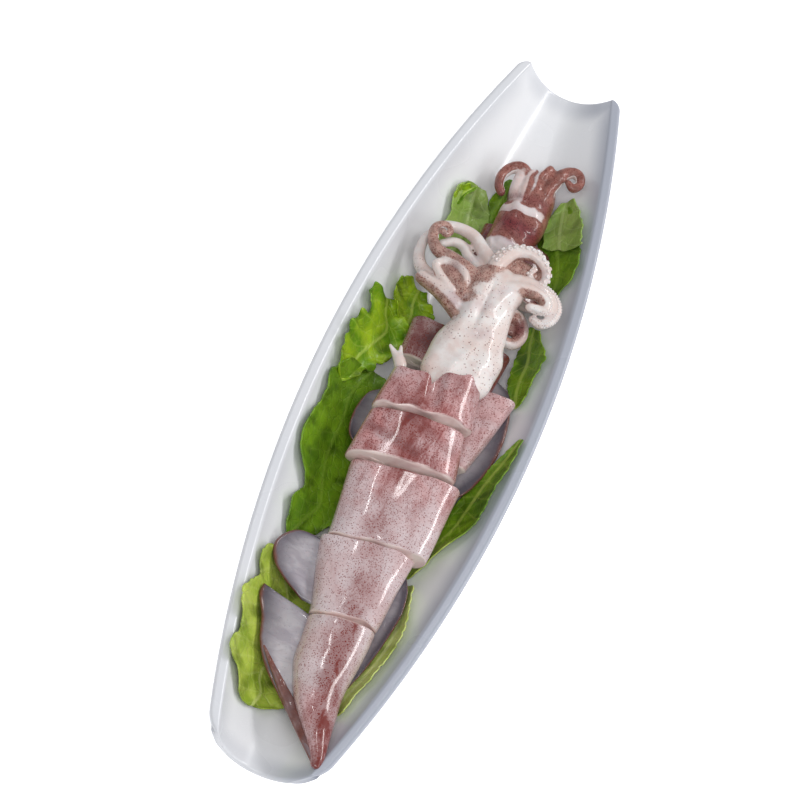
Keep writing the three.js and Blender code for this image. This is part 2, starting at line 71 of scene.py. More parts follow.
cameraSetup = {
    "elevation": 60.0,  # degrees above the table
    "roll": 24.8,  # turned about the line of sight, so that the dish leans to the right
    "distance": 1.6075,
    "lens": 153.44,
    "aim": (-0.0110, 0.0062, -0.0091),  # from the middle of the object's box
}


def makeCamera():
    low, high = cadBox
    elevation = math.radians(cameraSetup["elevation"])
    roll = math.radians(cameraSetup["roll"])
    target = (low + high) / 2 + Vector(cameraSetup["aim"])
    forward = Vector((0, math.cos(elevation), -math.sin(elevation)))
    right = Vector((1, 0, 0))
    upward = right.cross(forward)
    turnedRight = right * math.cos(roll) + upward * math.sin(roll)
    turnedUp = upward * math.cos(roll) - right * math.sin(roll)
    data = bpy.data.cameras.new("camera")
    data.lens = cameraSetup["lens"]
    data.sensor_width = 36
    data.clip_end = 20
    camera = bpy.data.objects.new("camera", data)
    scene.collection.objects.link(camera)
    turn = Matrix((turnedRight, turnedUp, -forward)).transposed().to_4x4()
    camera.matrix_world = Matrix.Translation(target - forward * cameraSetup["distance"]) @ turn
    scene.camera = camera


worldSetup = {"colour": (0.95, 0.97, 1.0, 1), "strength": 0.36}
lightSetup = {  # name: (place, size x, size y, watts), each aimed at the middle of the dish
    "softFront": ((0.15, -0.70, 1.45), 0.9, 0.5, 8.5),
    "softRight": ((0.88, 0.75, 1.02), 0.85, 0.2, 7.5),
    "fillRight": ((1.30, -0.20, 0.75), 0.9, 0.7, 4.5),
    "softLeft": ((-1.0, 0.0, 1.2), 0.5, 0.9, 1.4),
    "narrowTop": ((-0.15, 0.60, 1.36), 0.05, 0.22, 0.7),
}


def makeLights():
    for name, (place, sizeX, sizeY, watts) in lightSetup.items():
        data = bpy.data.lights.new(name, "AREA")
        data.shape = "RECTANGLE"
        data.size = sizeX
        data.size_y = sizeY
        data.energy = watts
        lamp = bpy.data.objects.new(name, data)
        lamp.location = place
        lamp.rotation_mode = "QUATERNION"
        lamp.rotation_quaternion = (-Vector(place)).to_track_quat("-Z", "Y")
        scene.collection.objects.link(lamp)
    world = bpy.data.worlds.new("studio")
    world.use_nodes = True
    background = world.node_tree.nodes["Background"]
    background.inputs["Color"].default_value = worldSetup["colour"]
    background.inputs["Strength"].default_value = worldSetup["strength"]
    scene.world = world
    scene.view_settings.view_transform = "Standard"


def unit(vectors):  # every vector cut to length 1
    return vectors / np.maximum(np.linalg.norm(vectors, axis=-1, keepdims=True), 1e-12)


def smoothStep(value, low, high):  # 0 up to low, 1 from high on, a cubic ease in between
    t = np.clip((value - low) / (high - low), 0, 1)
    return t * t * (3 - 2 * t)


def bell(value, middle, width):  # 1 at the middle, falling to 1/e at the width
    return np.exp(-((value - middle) / width) ** 2)


# A smooth line through the points: Catmull-Rom pieces, then resampled at even steps of length.
def through(points, count):
    p = np.asarray(points, float)
    q = np.vstack([2 * p[0] - p[1], p, 2 * p[-1] - p[-2]])
    fine = np.linspace(0, len(p) - 1 - 1e-9, 40 * len(p))
    i = fine.astype(int)
    t = (fine - i)[:, None]
    a, b, c, d = q[i], q[i + 1], q[i + 2], q[i + 3]
    bend, twist = 2 * a - 5 * b + 4 * c - d, 3 * b - a - 3 * c + d
    line = 0.5 * (2 * b + (c - a) * t + bend * t ** 2 + twist * t ** 3)
    length = np.concatenate([[0], np.cumsum(np.linalg.norm(np.diff(line, axis=0), axis=1))])
    even = np.linspace(0, length[-1], count)
    return np.stack([np.interp(even, length, line[:, k]) for k in range(p.shape[1])], axis=1)


# Smooth uneven values from -1 to 1: a sum of sine waves in random directions about size mm long.
def ripple(points, size, seed, waves=7):
    rng = np.random.default_rng(seed)
    directions = unit(rng.normal(size=(waves, 3)))
    directions = directions * (2 * math.pi / size) * rng.uniform(0.6, 1.5, (waves, 1))
    phases = rng.uniform(0, 2 * math.pi, waves)
    return np.sin(points @ directions.T + phases).sum(axis=-1) / waves ** 0.5 / 1.6


# Four-sided faces between neighbours of a grid of points, closed round the columns if it wraps.
def gridFaces(rows, columns, wrap=False):
    index = np.arange(rows * columns).reshape(rows, columns)
    following = np.roll(index, -1, axis=1) if wrap else index[:, 1:]
    first = index if wrap else index[:, :-1]
    quads = np.stack([first[:-1], following[:-1], following[1:], first[1:]], axis=-1)
    return quads.reshape(-1, 4)


# Puts points in mm into a mesh, marks its vertices, and sets it riding in place of its nodes.
def addPiece(name, points, faces, nodes, material, marks):
    mesh = bpy.data.meshes.new(name)
    mesh.from_pydata((points * mm).tolist(), [], [face.tolist() for face in faces])
    for mark, values in marks.items():
        layer = mesh.attributes.new(mark, "FLOAT", "POINT")
        layer.data.foreach_set("value", np.asarray(values, np.float32).ravel())
    mesh.polygons.foreach_set("use_smooth", np.ones(len(mesh.polygons), bool))
    mesh.materials.append(material)
    piece = bpy.data.objects.new(name, mesh)
    scene.collection.objects.link(piece)
    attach(piece, "root")
    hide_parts(*nodes)
    return piece


# Points and faces of a closed skin: rings of points, with one more point at each end.
def closedTube(rings):
    rows, columns, _ = rings.shape
    points = np.vstack([rings.reshape(-1, 3), rings[0].mean(axis=0), rings[-1].mean(axis=0)])
    index = np.arange(columns)
    following = np.roll(index, -1)
    firstEnd = np.stack([following, index, np.full(columns, rows * columns)], axis=1)
    last = (rows - 1) * columns
    lastEnd = np.stack([last + index, last + following, np.full(columns, rows * columns + 1)], axis=1)
    faces = list(gridFaces(rows, columns, wrap=True)) + list(firstEnd) + list(lastEnd)
    return points, outward(points, faces)


# Turns every face round if the closed skin holds a negative volume.
def outward(points, faces):
    fans = np.array([face[:3] for face in faces] + [face[[0, 2, 3]] for face in faces if len(face) == 4])
    a, b, c = points[fans[:, 0]], points[fans[:, 1]], points[fans[:, 2]]
    inside = np.einsum("ij,ij->i", a, np.cross(b, c)).sum()
    return faces if inside > 0 else [face[::-1] for face in faces]


# A value for each ring point, and the end rings' own means for the two end points.
def ringMarks(values):
    return np.concatenate([values.ravel(), [values[0].mean(), values[-1].mean()]])


# How to move and stretch points so that they just fill the box of a frame node.
def placing(points, node):
    low, high = (np.array(corner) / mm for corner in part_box(node))
    lowest, highest = points.min(axis=0), points.max(axis=0)
    scale = (high - low) / (highest - lowest)
    return scale, low - lowest * scale


def placed(points, fit):  # stretched, then moved
    return points * fit[0] + fit[1]


def setInputs(tree, node, inputs):  # a socket is linked in, anything else is set as a plain value
    for key, value in inputs.items():
        if isinstance(value, bpy.types.NodeSocket):
            tree.links.new(value, node.inputs[key])
        else:
            node.inputs[key].default_value = value


def addNode(tree, kind, inputs=None, **settings):
    node = tree.nodes.new(kind)
    for key, value in settings.items():
        setattr(node, key, value)
    setInputs(tree, node, inputs or {})
    return node


def mixColour(tree, share, first, second):
    node = addNode(tree, "ShaderNodeMix", {0: share, 6: first, 7: second}, data_type="RGBA")
    return node.outputs[2]


def calc(tree, operation, first, second):
    return addNode(tree, "ShaderNodeMath", {0: first, 1: second}, operation=operation).outputs[0]


def times(tree, first, second):
    return calc(tree, "MULTIPLY", first, second)


def plus(tree, first, second):
    return calc(tree, "ADD", first, second)


def larger(tree, first, second):
    return calc(tree, "MAXIMUM", first, second)


def remap(tree, value, fromLow, fromHigh, toLow=0.0, toHigh=1.0):
    inputs = {0: value, 1: fromLow, 2: fromHigh, 3: toLow, 4: toHigh}
    return addNode(tree, "ShaderNodeMapRange", inputs, interpolation_type="SMOOTHSTEP").outputs[0]


def noise(tree, vector, scale, detail=3.0, roughness=0.5, distortion=0.0):
    inputs = {
        "Vector": vector, "Scale": scale, "Detail": detail, "Roughness": roughness, "Distortion": distortion,
    }
    return addNode(tree, "ShaderNodeTexNoise", inputs).outputs["Fac"]


def stretched(tree, position, scale):
    return addNode(tree, "ShaderNodeMapping", {"Vector": position, "Scale": scale}).outputs[0]


def mark(tree, name):
    return addNode(tree, "ShaderNodeAttribute", attribute_name=name).outputs["Fac"]


def bumpFrom(tree, height, strength, distance):
    inputs = {"Height": height, "Strength": strength, "Distance": distance}
    return addNode(tree, "ShaderNodeBump", inputs).outputs[0]


def newMaterial(name):
    material = bpy.data.materials.new(name)
    material.use_nodes = True
    tree = material.node_tree
    shader = tree.nodes["Principled BSDF"]
    position = addNode(tree, "ShaderNodeTexCoord").outputs["Object"]
    return material, tree, shader, position


def newGroup(name, inputs, outputs):
    group = bpy.data.node_groups.new(name, "ShaderNodeTree")
    for label, kind, value in inputs:
        socket = group.interface.new_socket(label, in_out="INPUT", socket_type=kind)
        if value is not None:
            socket.default_value = value
    for label in outputs:
        group.interface.new_socket(label, in_out="OUTPUT", socket_type="NodeSocketFloat")
    return group, group.nodes.new("NodeGroupInput"), group.nodes.new("NodeGroupOutput")


# Pigment spots: round dots of uneven size in random cells, of which only a share holds a dot.
def makeSpeckleGroup():
    group, given, result = newGroup(
        "pigmentSpots",
        [("Vector", "NodeSocketVector", None), ("Scale", "NodeSocketFloat", 800.0),
         ("Size", "NodeSocketFloat", 0.3), ("Share", "NodeSocketFloat", 0.6)],
        ["Spots"])
    vector, scale, size, share = given.outputs[:4]
    cells = addNode(group, "ShaderNodeTexVoronoi", {"Vector": vector, "Scale": scale})
    pick = addNode(group, "ShaderNodeSeparateColor", {0: cells.outputs["Color"]})
    kept = calc(group, "LESS_THAN", pick.outputs[0], share)
    radius = times(group, size, plus(group, times(group, pick.outputs[1], 0.8), 0.45))
    inner = times(group, radius, 0.55)
    dot = remap(group, cells.outputs["Distance"], inner, radius, 1.0, 0.0)
    group.links.new(times(group, dot, kept), result.inputs["Spots"])
    return group


# Wet flesh: its height is soft lumps and fine grain, its patches follow the lumps.
def makeWetGroup():
    group, given, result = newGroup(
        "wetRelief",
        [("Vector", "NodeSocketVector", None), ("Lump", "NodeSocketFloat", 160.0),
         ("Fine", "NodeSocketFloat", 900.0)],
        ["Height", "Patches"])
    vector, lumpScale, fineScale = given.outputs[:3]
    lumps = noise(group, vector, lumpScale, 2.0)
    fine = noise(group, vector, fineScale, 3.0, 0.6)
    height = plus(group, times(group, lumps, 0.88), times(group, fine, 0.12))
    group.links.new(height, result.inputs["Height"])
    group.links.new(remap(group, lumps, 0.35, 0.65), result.inputs["Patches"])
    return group


speckleGroup = makeSpeckleGroup()
wetGroup = makeWetGroup()

wetLook = {  # what every piece of squid shares
    "IOR": 1.38,
    "Coat Weight": 0.7,
    "Coat Roughness": 0.08,
    "Subsurface Radius": (1.0, 0.45, 0.35),
    "Subsurface Scale": 0.0018,
}


def spots(tree, position, scale, size, share):
    inputs = {"Vector": position, "Scale": scale, "Size": size, "Share": share}
    return addNode(tree, "ShaderNodeGroup", inputs, node_tree=speckleGroup).outputs["Spots"]


def wetSurface(tree, vector, lump, fine, strength, distance):  # the patches, and the bumped normal
    values = {"Vector": vector, "Lump": lump, "Fine": fine}
    relief = addNode(tree, "ShaderNodeGroup", values, node_tree=wetGroup)
    return relief.outputs["Patches"], bumpFrom(tree, relief.outputs["Height"], strength, distance)


def inLinear(tones):
    return {key: screenColour(*tone) for key, tone in tones.items()}


skinTones = {
    "lilac": (214, 200, 202), "lilacDeep": (205, 184, 185), "rosy": (198, 132, 130), "cloud": (134, 50, 46),
    "stripe": (118, 42, 36), "dusk": (92, 48, 50), "dot": (120, 36, 26),
    "cut": (240, 222, 216), "cutDeep": (222, 194, 190),
}


# Mantle skin: lilac-white with red clouds, a brown back stripe, dusky parts, crowded spots and cream cuts.
def makeSkinMaterial():
    material, tree, shader, position = newMaterial("mantleSkin")
    tone = inLinear(skinTones)
    streaky = stretched(tree, position, (1.0, 0.35, 1.0))
    patches, normal = wetSurface(tree, streaky, 110.0, 900.0, 0.3, 0.0006)
    blush, stripe, cut, dusk = (mark(tree, name) for name in ("blush", "stripe", "cut", "dusk"))
    broad = noise(tree, position, 70.0, 4.0, 0.6, 0.4)
    cloud = remap(tree, noise(tree, streaky, 120.0, 6.0, 0.75, 0.5), 0.46, 0.63)
    base = mixColour(tree, remap(tree, broad, 0.36, 0.64), tone["lilac"], tone["lilacDeep"])
    blushed = times(tree, blush, remap(tree, broad, 0.3, 0.62, 0.45, 1.0))
    rosy = mixColour(tree, blushed, base, tone["rosy"])
    clouding = times(tree, cloud, plus(tree, times(tree, blush, 0.84), 0.05))
    clouded = mixColour(tree, clouding, rosy, tone["cloud"])
    striping = times(tree, stripe, remap(tree, cloud, 0.0, 1.0, 0.64, 1.0))
    banded = mixColour(tree, striping, clouded, tone["stripe"])
    shading = times(tree, dusk, remap(tree, broad, 0.35, 0.62, 0.55, 1.0))
    dusky = mixColour(tree, shading, banded, tone["dusk"])
    crowded = larger(tree, larger(tree, stripe, dusk), times(tree, blush, 0.8))
    fine = spots(tree, position, 1400.0, 0.42, plus(tree, times(tree, crowded, 0.25), 0.75))
    bold = times(tree, spots(tree, position, 950.0, 0.45, 0.88), times(tree, crowded, 1.1))
    dotted = mixColour(tree, larger(tree, times(tree, fine, 0.88), bold), dusky, tone["dot"])
    cream = mixColour(tree, patches, tone["cut"], tone["cutDeep"])
    setInputs(tree, shader, wetLook)
    setInputs(tree, shader, {
        "Base Color": mixColour(tree, cut, dotted, cream), "Normal": normal,
        "Roughness": remap(tree, patches, 0.0, 1.0, 0.26, 0.4), "Subsurface Weight": 0.05,
    })
    return material


finTones = {
    "milk": (208, 202, 206), "milkDeep": (186, 178, 186), "ray": (140, 132, 142), "shade": (84, 78, 88),
    "dot": (96, 78, 84), "brown": (90, 42, 34), "brownLight": (134, 82, 70),
}


# Fin: milky grey-lilac film with faint rays and dots, dimmer where shaded, and a brown margin.
def makeFinMaterial():
    material, tree, shader, position = newMaterial("finFilm")
    tone = inLinear(finTones)
    patches, normal = wetSurface(tree, position, 80.0, 600.0, 0.35, 0.0009)
    milky = mixColour(tree, patches, tone["milk"], tone["milkDeep"])
    across = stretched(tree, position, (0.4, 1.0, 1.0))
    rays = remap(tree, noise(tree, across, 260.0, 3.0, 0.6, 0.8), 0.4, 0.66)
    rayed = mixColour(tree, times(tree, rays, 0.35), milky, tone["ray"])
    dim = mixColour(tree, mark(tree, "shade"), rayed, tone["shade"])
    dotted = mixColour(tree, times(tree, spots(tree, position, 900.0, 0.34, 0.4), 0.2), dim, tone["dot"])
    brown = mixColour(tree, noise(tree, position, 500.0), tone["brown"], tone["brownLight"])
    setInputs(tree, shader, wetLook)
    setInputs(tree, shader, {
        "Base Color": mixColour(tree, mark(tree, "margin"), dotted, brown), "Normal": normal,
        "Roughness": remap(tree, patches, 0.0, 1.0, 0.2, 0.3), "Subsurface Weight": 0.15,
    })
    return material


def shadeOf(colour, red, green, blue):  # a colour with each channel taken down to a share
    return (colour[0] * red, colour[1] * green, colour[2] * blue, 1.0)


headTones = {
    # headFlesh's deep colour is painted shade for the first head's hollows; armSkin's is the second head's
    # own maroon
    "headFlesh": {"pale": (230, 223, 220), "brown": (192, 154, 142), "deep": (112, 58, 58)},
    "armSkin": {"pale": (224, 214, 214), "brown": (160, 106, 95), "deep": (118, 46, 50)},
    "suckerFlesh": {"pale": (240, 238, 238), "brown": (208, 188, 182), "deep": (120, 70, 72)},
}
headDetail = inLinear({
    "rosy": (216, 184, 172), "lilac": (172, 150, 162), "dot": (112, 38, 28), "dotOnDeep": (44, 8, 14),
})


# Head and arms: whitish flesh where the brown mark is low, speckled brown skin where it is high,
# maroon where the deep mark is high (the second head's own maroon band, and painted shade in the
# hollows of the first head) and lilac where the tint mark is.
def makeHeadMaterial(name):
    material, tree, shader, position = newMaterial(name)
    tone = inLinear(headTones[name])
    patches, normal = wetSurface(tree, position, 140.0, 1200.0, 0.3, 0.0006)
    skin, deep, tint = (mark(tree, label) for label in ("brown", "deep", "tint"))
    wobble = calc(tree, "SUBTRACT", noise(tree, position, 380.0, 4.0), 0.5)
    covered = remap(tree, plus(tree, skin, wobble), 0.2, 0.85)
    mottle = remap(tree, noise(tree, position, 120.0, 4.0, 0.6), 0.4, 0.66)
    flesh = mixColour(tree, mottle, tone["pale"], shadeOf(tone["pale"], 0.9, 0.82, 0.8))
    flush = remap(tree, noise(tree, position, 55.0, 3.0), 0.42, 0.62, 0.0, 0.4)
    rosy = mixColour(tree, flush, flesh, headDetail["rosy"])
    lilac = mixColour(tree, times(tree, tint, 0.75), rosy, headDetail["lilac"])
    blotch = remap(tree, noise(tree, position, 240.0, 4.0, 0.6), 0.38, 0.66)
    coat = mixColour(tree, blotch, tone["brown"], shadeOf(tone["brown"], 0.62, 0.62, 0.62))
    # deep mark: painted shade in the first head's hollows, the second head's own maroon elsewhere
    maroonAndShade = mixColour(tree, deep, mixColour(tree, covered, lilac, coat), tone["deep"])
    fine = times(tree, spots(tree, position, 1450.0, 0.5, 0.85), 0.85)
    bold = spots(tree, position, 950.0, 0.42, 0.7)
    crowd = times(tree, larger(tree, fine, bold), larger(tree, covered, deep))
    rare = times(tree, spots(tree, position, 800.0, 0.32, 0.7), mark(tree, "freckles"))
    dots = larger(tree, times(tree, crowd, 0.85), times(tree, rare, 0.75))
    dotTone = mixColour(tree, deep, headDetail["dot"], headDetail["dotOnDeep"])
    setInputs(tree, shader, wetLook)
    setInputs(tree, shader, {
        "Base Color": mixColour(tree, dots, maroonAndShade, dotTone), "Normal": normal,
        "Roughness": remap(tree, patches, 0.0, 1.0, 0.34, 0.48),
        "Coat Weight": 0.38, "Subsurface Weight": 0.1,
    })
    return material


leafTones = {  # tone: (material, darker mottle colour that also paints the shade in the hollows, bright colour, colour of the veins)
    "green": ("lettuceGreen", (78, 120, 12), (126, 164, 30), (176, 196, 88)),
    "deep": ("lettuceDeep", (90, 130, 16), (124, 164, 32), (134, 168, 56)),
    "bright": ("lettuceBright", (100, 148, 12), (168, 200, 38), (192, 214, 96)),
    "soft": ("lettuceSoft", (136, 168, 72), (168, 194, 106), (184, 204, 130)),
    "faint": ("lettuceFaint", (184, 202, 96), (204, 216, 128), (220, 227, 158)),
    "pale": ("lettucePaleTone", (144, 170, 44), (188, 205, 86), (208, 218, 130)),
}


# Lettuce: mottled green, with painted shade in the hollows, paler along the veins and a fine net.
def makeLettuceMaterial(name, *colours):
    material, tree, shader, position = newMaterial(name)
    deep, bright, pale = (screenColour(*colour) for colour in colours)
    vein, hollowShade = mark(tree, "vein"), mark(tree, "hollowShade")
    mottle = remap(tree, noise(tree, position, 70.0, 5.0, 0.55), 0.34, 0.66)
    cells = {"Vector": position, "Scale": 190.0}
    quilt = addNode(tree, "ShaderNodeTexVoronoi", cells, feature="DISTANCE_TO_EDGE")
    net = remap(tree, quilt.outputs["Distance"], 0.0, 0.09, 1.0, 0.0)
    leaf = mixColour(tree, mottle, bright, deep)
    # painted shade: a darkened copy of the dip colour where the leaf lies low
    shadedHollows = mixColour(tree, times(tree, hollowShade, 0.6), leaf, shadeOf(deep, 0.34, 0.34, 0.34))
    veined = mixColour(tree, times(tree, vein, 0.6), shadedHollows, pale)
    ridges = times(tree, plus(tree, net, vein), 0.35)
    height = calc(tree, "SUBTRACT", noise(tree, position, 260.0, 4.0), ridges)
    setInputs(tree, shader, {
        "Base Color": mixColour(tree, times(tree, net, 0.12), veined, pale),
        "Roughness": remap(tree, mottle, 0.0, 1.0, 0.34, 0.5), "IOR": 1.4,
        "Coat Weight": 0.2, "Coat Roughness": 0.2, "Subsurface Weight": 0.12,
        "Subsurface Radius": (0.5, 1.0, 0.2), "Subsurface Scale": 0.001,
        "Normal": bumpFrom(tree, height, 0.5, 0.0009),
    })
    return material


# rim: the colour of the painted shade along the rim
dishTones = {"white": (240, 240, 242), "whiteDeep": (234, 235, 238), "rim": (170, 174, 186)}


# Dish: cool white melamine, glossy, faintly wavy, with fine scuffs and a painted grey-blue shade along the
# rim, strongest on the right side.
def makeDishMaterial():
    material, tree, shader, position = newMaterial("melamine")
    tone = inLinear(dishTones)
    wave = noise(tree, position, 14.0, 2.0)
    scuff = remap(tree, noise(tree, position, 900.0, 5.0, 0.7, 1.5), 0.6, 0.75)
    plain = mixColour(tree, remap(tree, wave, 0.3, 0.7), tone["white"], tone["whiteDeep"])
    dulled = plus(tree, remap(tree, wave, 0.3, 0.7, 0.24, 0.3), times(tree, scuff, 0.06))
    # the rim mark mixes in the painted grey-blue shade near the outline
    setInputs(tree, shader, {
        "Base Color": mixColour(tree, mark(tree, "rim"), plain, tone["rim"]), "Roughness": dulled,
        "IOR": 1.5, "Coat Weight": 0.3, "Coat Roughness": 0.14,
        "Normal": bumpFrom(tree, wave, 0.12, 0.002),
    })
    return material


def makeFloorMaterial():
    material, tree, shader, position = newMaterial("paleFloor")
    grain = noise(tree, position, 30.0, 3.0)
    setInputs(tree, shader, {
        "Base Color": mixColour(tree, grain, screenColour(246, 246, 247), screenColour(243, 243, 244)),
        "Roughness": 0.9, "Emission Color": (1, 1, 1, 1), "Emission Strength": 0.45,
    })
    return material


dish = {
    "length": 400.0, "width": 112.0, "endWidth": 53.0,
    "rim": 36.0, "rimEnd": 38.5, "floor": 6.6, "floorEnd": 22.0,
    "flatHalf": 90.0, "floorPower": 1.8, "wallPower": 1.75, "endPower": 0.45, "flatShare": 0.3,
    "wall": 3.6, "lip": 5.0, "lipRise": 0.6, "tailCorner": 12.0, "headCorner": 5.0,
    "footLength": 150.0, "footWidth": 44.0, "footWall": 4.0, "footTop": 4.4, "footBevel": 0.6,
    "rows": 240, "columns": 72, "edgeSteps": 9, "footSteps": 96,
}
dishLow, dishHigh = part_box("dish")
dishFoot = [(dishLow[0] + dishHigh[0]) / 2, (dishLow[1] + dishHigh[1]) / 2, dishLow[2]]
unmoved = (np.ones(3), np.array(dishFoot) / mm)  # the fit of pieces already drawn in their place


# Half width in plan: each side is an arc of one circle, widest at the middle.
def dishHalfWidth(y):
    sag = (dish["width"] - dish["endWidth"]) / 2
    radius = (dish["length"] ** 2 / 4 + sag ** 2) / (2 * sag)
    return dish["width"] / 2 - (radius - np.sqrt(radius ** 2 - y ** 2))


# What the quarter-round corners at the two ends take off the half width.
def dishCornerTrim(y):
    radius = np.where(y < 0, dish["tailCorner"], dish["headCorner"])
    into = np.maximum(0, np.abs(y) - (dish["length"] / 2 - radius))
    return radius - np.sqrt(np.maximum(0, radius ** 2 - into ** 2))


# Height of the eating surface: flat in the middle, a power curve up the walls, then the flatter lip.
def dishTop(x, y):
    half = dish["length"] / 2
    along = np.maximum(0, (np.abs(y) - dish["flatHalf"]) / (half - dish["flatHalf"]))
    floor = dish["floor"] + (dish["floorEnd"] - dish["floor"]) * along ** dish["floorPower"]
    rim = dish["rim"] + (dish["rimEnd"] - dish["rim"]) * (y / half) ** 2
    crease = dishHalfWidth(y) - dish["lip"]
    across = np.minimum(1, np.abs(x) / crease)
    flat = dish["flatShare"] * (1 - np.abs(y / half) ** 3)
    power = dish["wallPower"] + dish["endPower"] * (y / half) ** 4
    climb = (np.maximum(0, across - flat) / (1 - flat)) ** power
    onLip = np.maximum(0, np.abs(x) - crease) / dish["lip"]
    return floor + (rim - dish["lipRise"] - floor) * climb + dish["lipRise"] * onLip


# The wall between the eating surface and a copy set off by the wall, thinned to a round rim all round.
def makeDish(material):
    rows, half, wall = dish["rows"], dish["length"] / 2, dish["wall"]
    y = half * np.sin(np.linspace(-1, 1, rows) * math.pi / 2)
    edge = dishHalfWidth(y) - dishCornerTrim(y)
    crease = edge - np.maximum(1, dish["lip"] - dishCornerTrim(y))
    inner = np.linspace(-1, 1, dish["columns"] + 1)[None, :] * crease[:, None]
    deep = np.repeat(y[:, None], inner.shape[1], axis=1)
    slope = (dishTop(0.985 * inner + 0.4, deep) - dishTop(0.985 * inner - 0.4, deep)) / 0.8
    size = np.sqrt(1 + slope ** 2)
    top = np.stack([inner, deep, dishTop(inner, deep)], axis=-1)
    under = top + np.stack([wall * slope / size, 0 * deep, -wall / size], axis=-1)
    lipShare = np.sin(np.linspace(0, math.pi / 2, dish["edgeSteps"] + 1)[1:])[None, :, None]

    def lipOf(side):
        last = 0 if side < 0 else -1
        rim = np.stack([side * edge, y, dishTop(side * edge, y)], axis=-1)[:, None, :]
        over = top[:, last, None] * (1 - lipShare) + rim * lipShare
        below = under[:, last, None] * (1 - lipShare) + (rim - [0, 0, wall]) * lipShare
        return (over[:, ::-1], below[:, ::-1]) if side < 0 else (over, below)

    leftOver, leftBelow = lipOf(-1)
    rightOver, rightBelow = lipOf(1)
    top = np.concatenate([leftOver, top, rightOver], axis=1)
    under = np.concatenate([leftBelow, under, rightBelow], axis=1)
    # how far in from the outline each point lies decides how thick the wall is there
    inward = np.minimum(edge[:, None] - np.abs(top[..., 0]), half - np.abs(top[..., 1]))
    rounding = np.sqrt(np.clip(1 - np.clip(1 - inward / (wall / 2), 0, 1) ** 2, 0.002, 1))[..., None]
    middle, reach = (top + under) / 2, (top - under) / 2
    loop = np.concatenate([middle + reach * rounding, (middle - reach * rounding)[:, ::-1]], axis=1)
    columns, total = top.shape[1], loop.shape[1]
    index = np.arange(rows * total).reshape(rows, total)
    ends = []
    for row in (0, rows - 1):
        over, below = index[row, :columns], index[row, columns:][::-1]
        strip = np.stack([over[:-1], over[1:], below[1:], below[:-1]], axis=-1)
        ends += list(strip if row == 0 else strip[:, ::-1])
    points = loop.reshape(-1, 3)
    faces = outward(points, list(gridFaces(rows, total, wrap=True)) + ends)
    # painted shade: darker towards the outline and strongest on the right side
    paintedRimShade = (1 - smoothStep(inward, 4, 13)) * (0.3 + 0.7 * smoothStep(top[..., 0], 0, 28))
    marks = {"rim": np.concatenate([paintedRimShade, paintedRimShade[:, ::-1]], axis=1).ravel()}
    addPiece("dishShell", placed(points, unmoved), faces, ["dish"], material, marks)


# The foot ring: a small rounded section carried round a long outline with half-round ends.
def makeFoot(material):
    straight = (dish["footLength"] - dish["footWidth"]) / 2
    radius = (dish["footWidth"] - dish["footWall"]) / 2
    steps = dish["footSteps"]
    turn = np.linspace(0, 2 * math.pi, steps, endpoint=False)
    direction = np.stack([np.cos(turn), np.sin(turn)], axis=1)
    outline = radius * direction
    outline[:, 1] += np.sign(np.sin(turn)) * straight
    halfWall, top = dish["footWall"] / 2, dish["footTop"]
    bevel = dish["footBevel"]
    section = np.array([
        [-halfWall, top], [-halfWall, bevel], [-halfWall + bevel, 0.0],
        [halfWall - bevel, 0.0], [halfWall, bevel], [halfWall, top],
    ])
    rings = np.concatenate([
        outline[:, None, :] + direction[:, None, :] * section[None, :, :1],
        np.broadcast_to(section[None, :, 1:], (steps, len(section), 1)),
    ], axis=2)
    index = np.arange(steps * len(section)).reshape(steps, len(section))
    beyond = np.roll(index, -1, axis=0)
    following = np.roll(index, -1, axis=1)
    faces = np.stack([index, following, np.roll(beyond, -1, axis=1), beyond], axis=-1).reshape(-1, 4)
    points = rings.reshape(-1, 3)
    marks = {"rim": np.zeros(len(points))}
    fitted = placed(points, unmoved)
    addPiece("dishFoot", fitted, outward(points, list(faces)), ["dish"], material, marks)


mantle = {
    "ovalPower": 2.6, "cutTilt": 0.17, "rows": 64, "columns": 140,
    "tailEdge": 1.4, "headEdge": 0.8, "sag": 0.5,
}


# Cosine and sine pushed out towards a rounded rectangle, as the section of a limp tube.
def oval(angle, power):
    c, s = np.cos(angle), np.sin(angle)
    return np.sign(c) * np.abs(c) ** (2 / power), np.sign(s) * np.abs(s) ** (2 / power)


def cutLine(start, tilt=mantle["cutTilt"]):  # a straight cut that leans across the body
    return lambda x: start + tilt * x


# The collar's edge: a step up from the left flap to the right one, a nick between them and a low peak.
def collarEdge(x):
    flap = 6.5 * smoothStep(x, -0.5, 2.5) * (1 - smoothStep(x, 22, 26))
    return 7.5 + flap - 3 * bell(x, -0.5, 1.6) + 3.5 * bell(x, 14.5, 3)


def collarDent(x, y):  # the groove that runs down from the nick
    return 4.2 * bell(x, 2.5 - 0.12 * y, 3.0) * smoothStep(y, -16, 4)


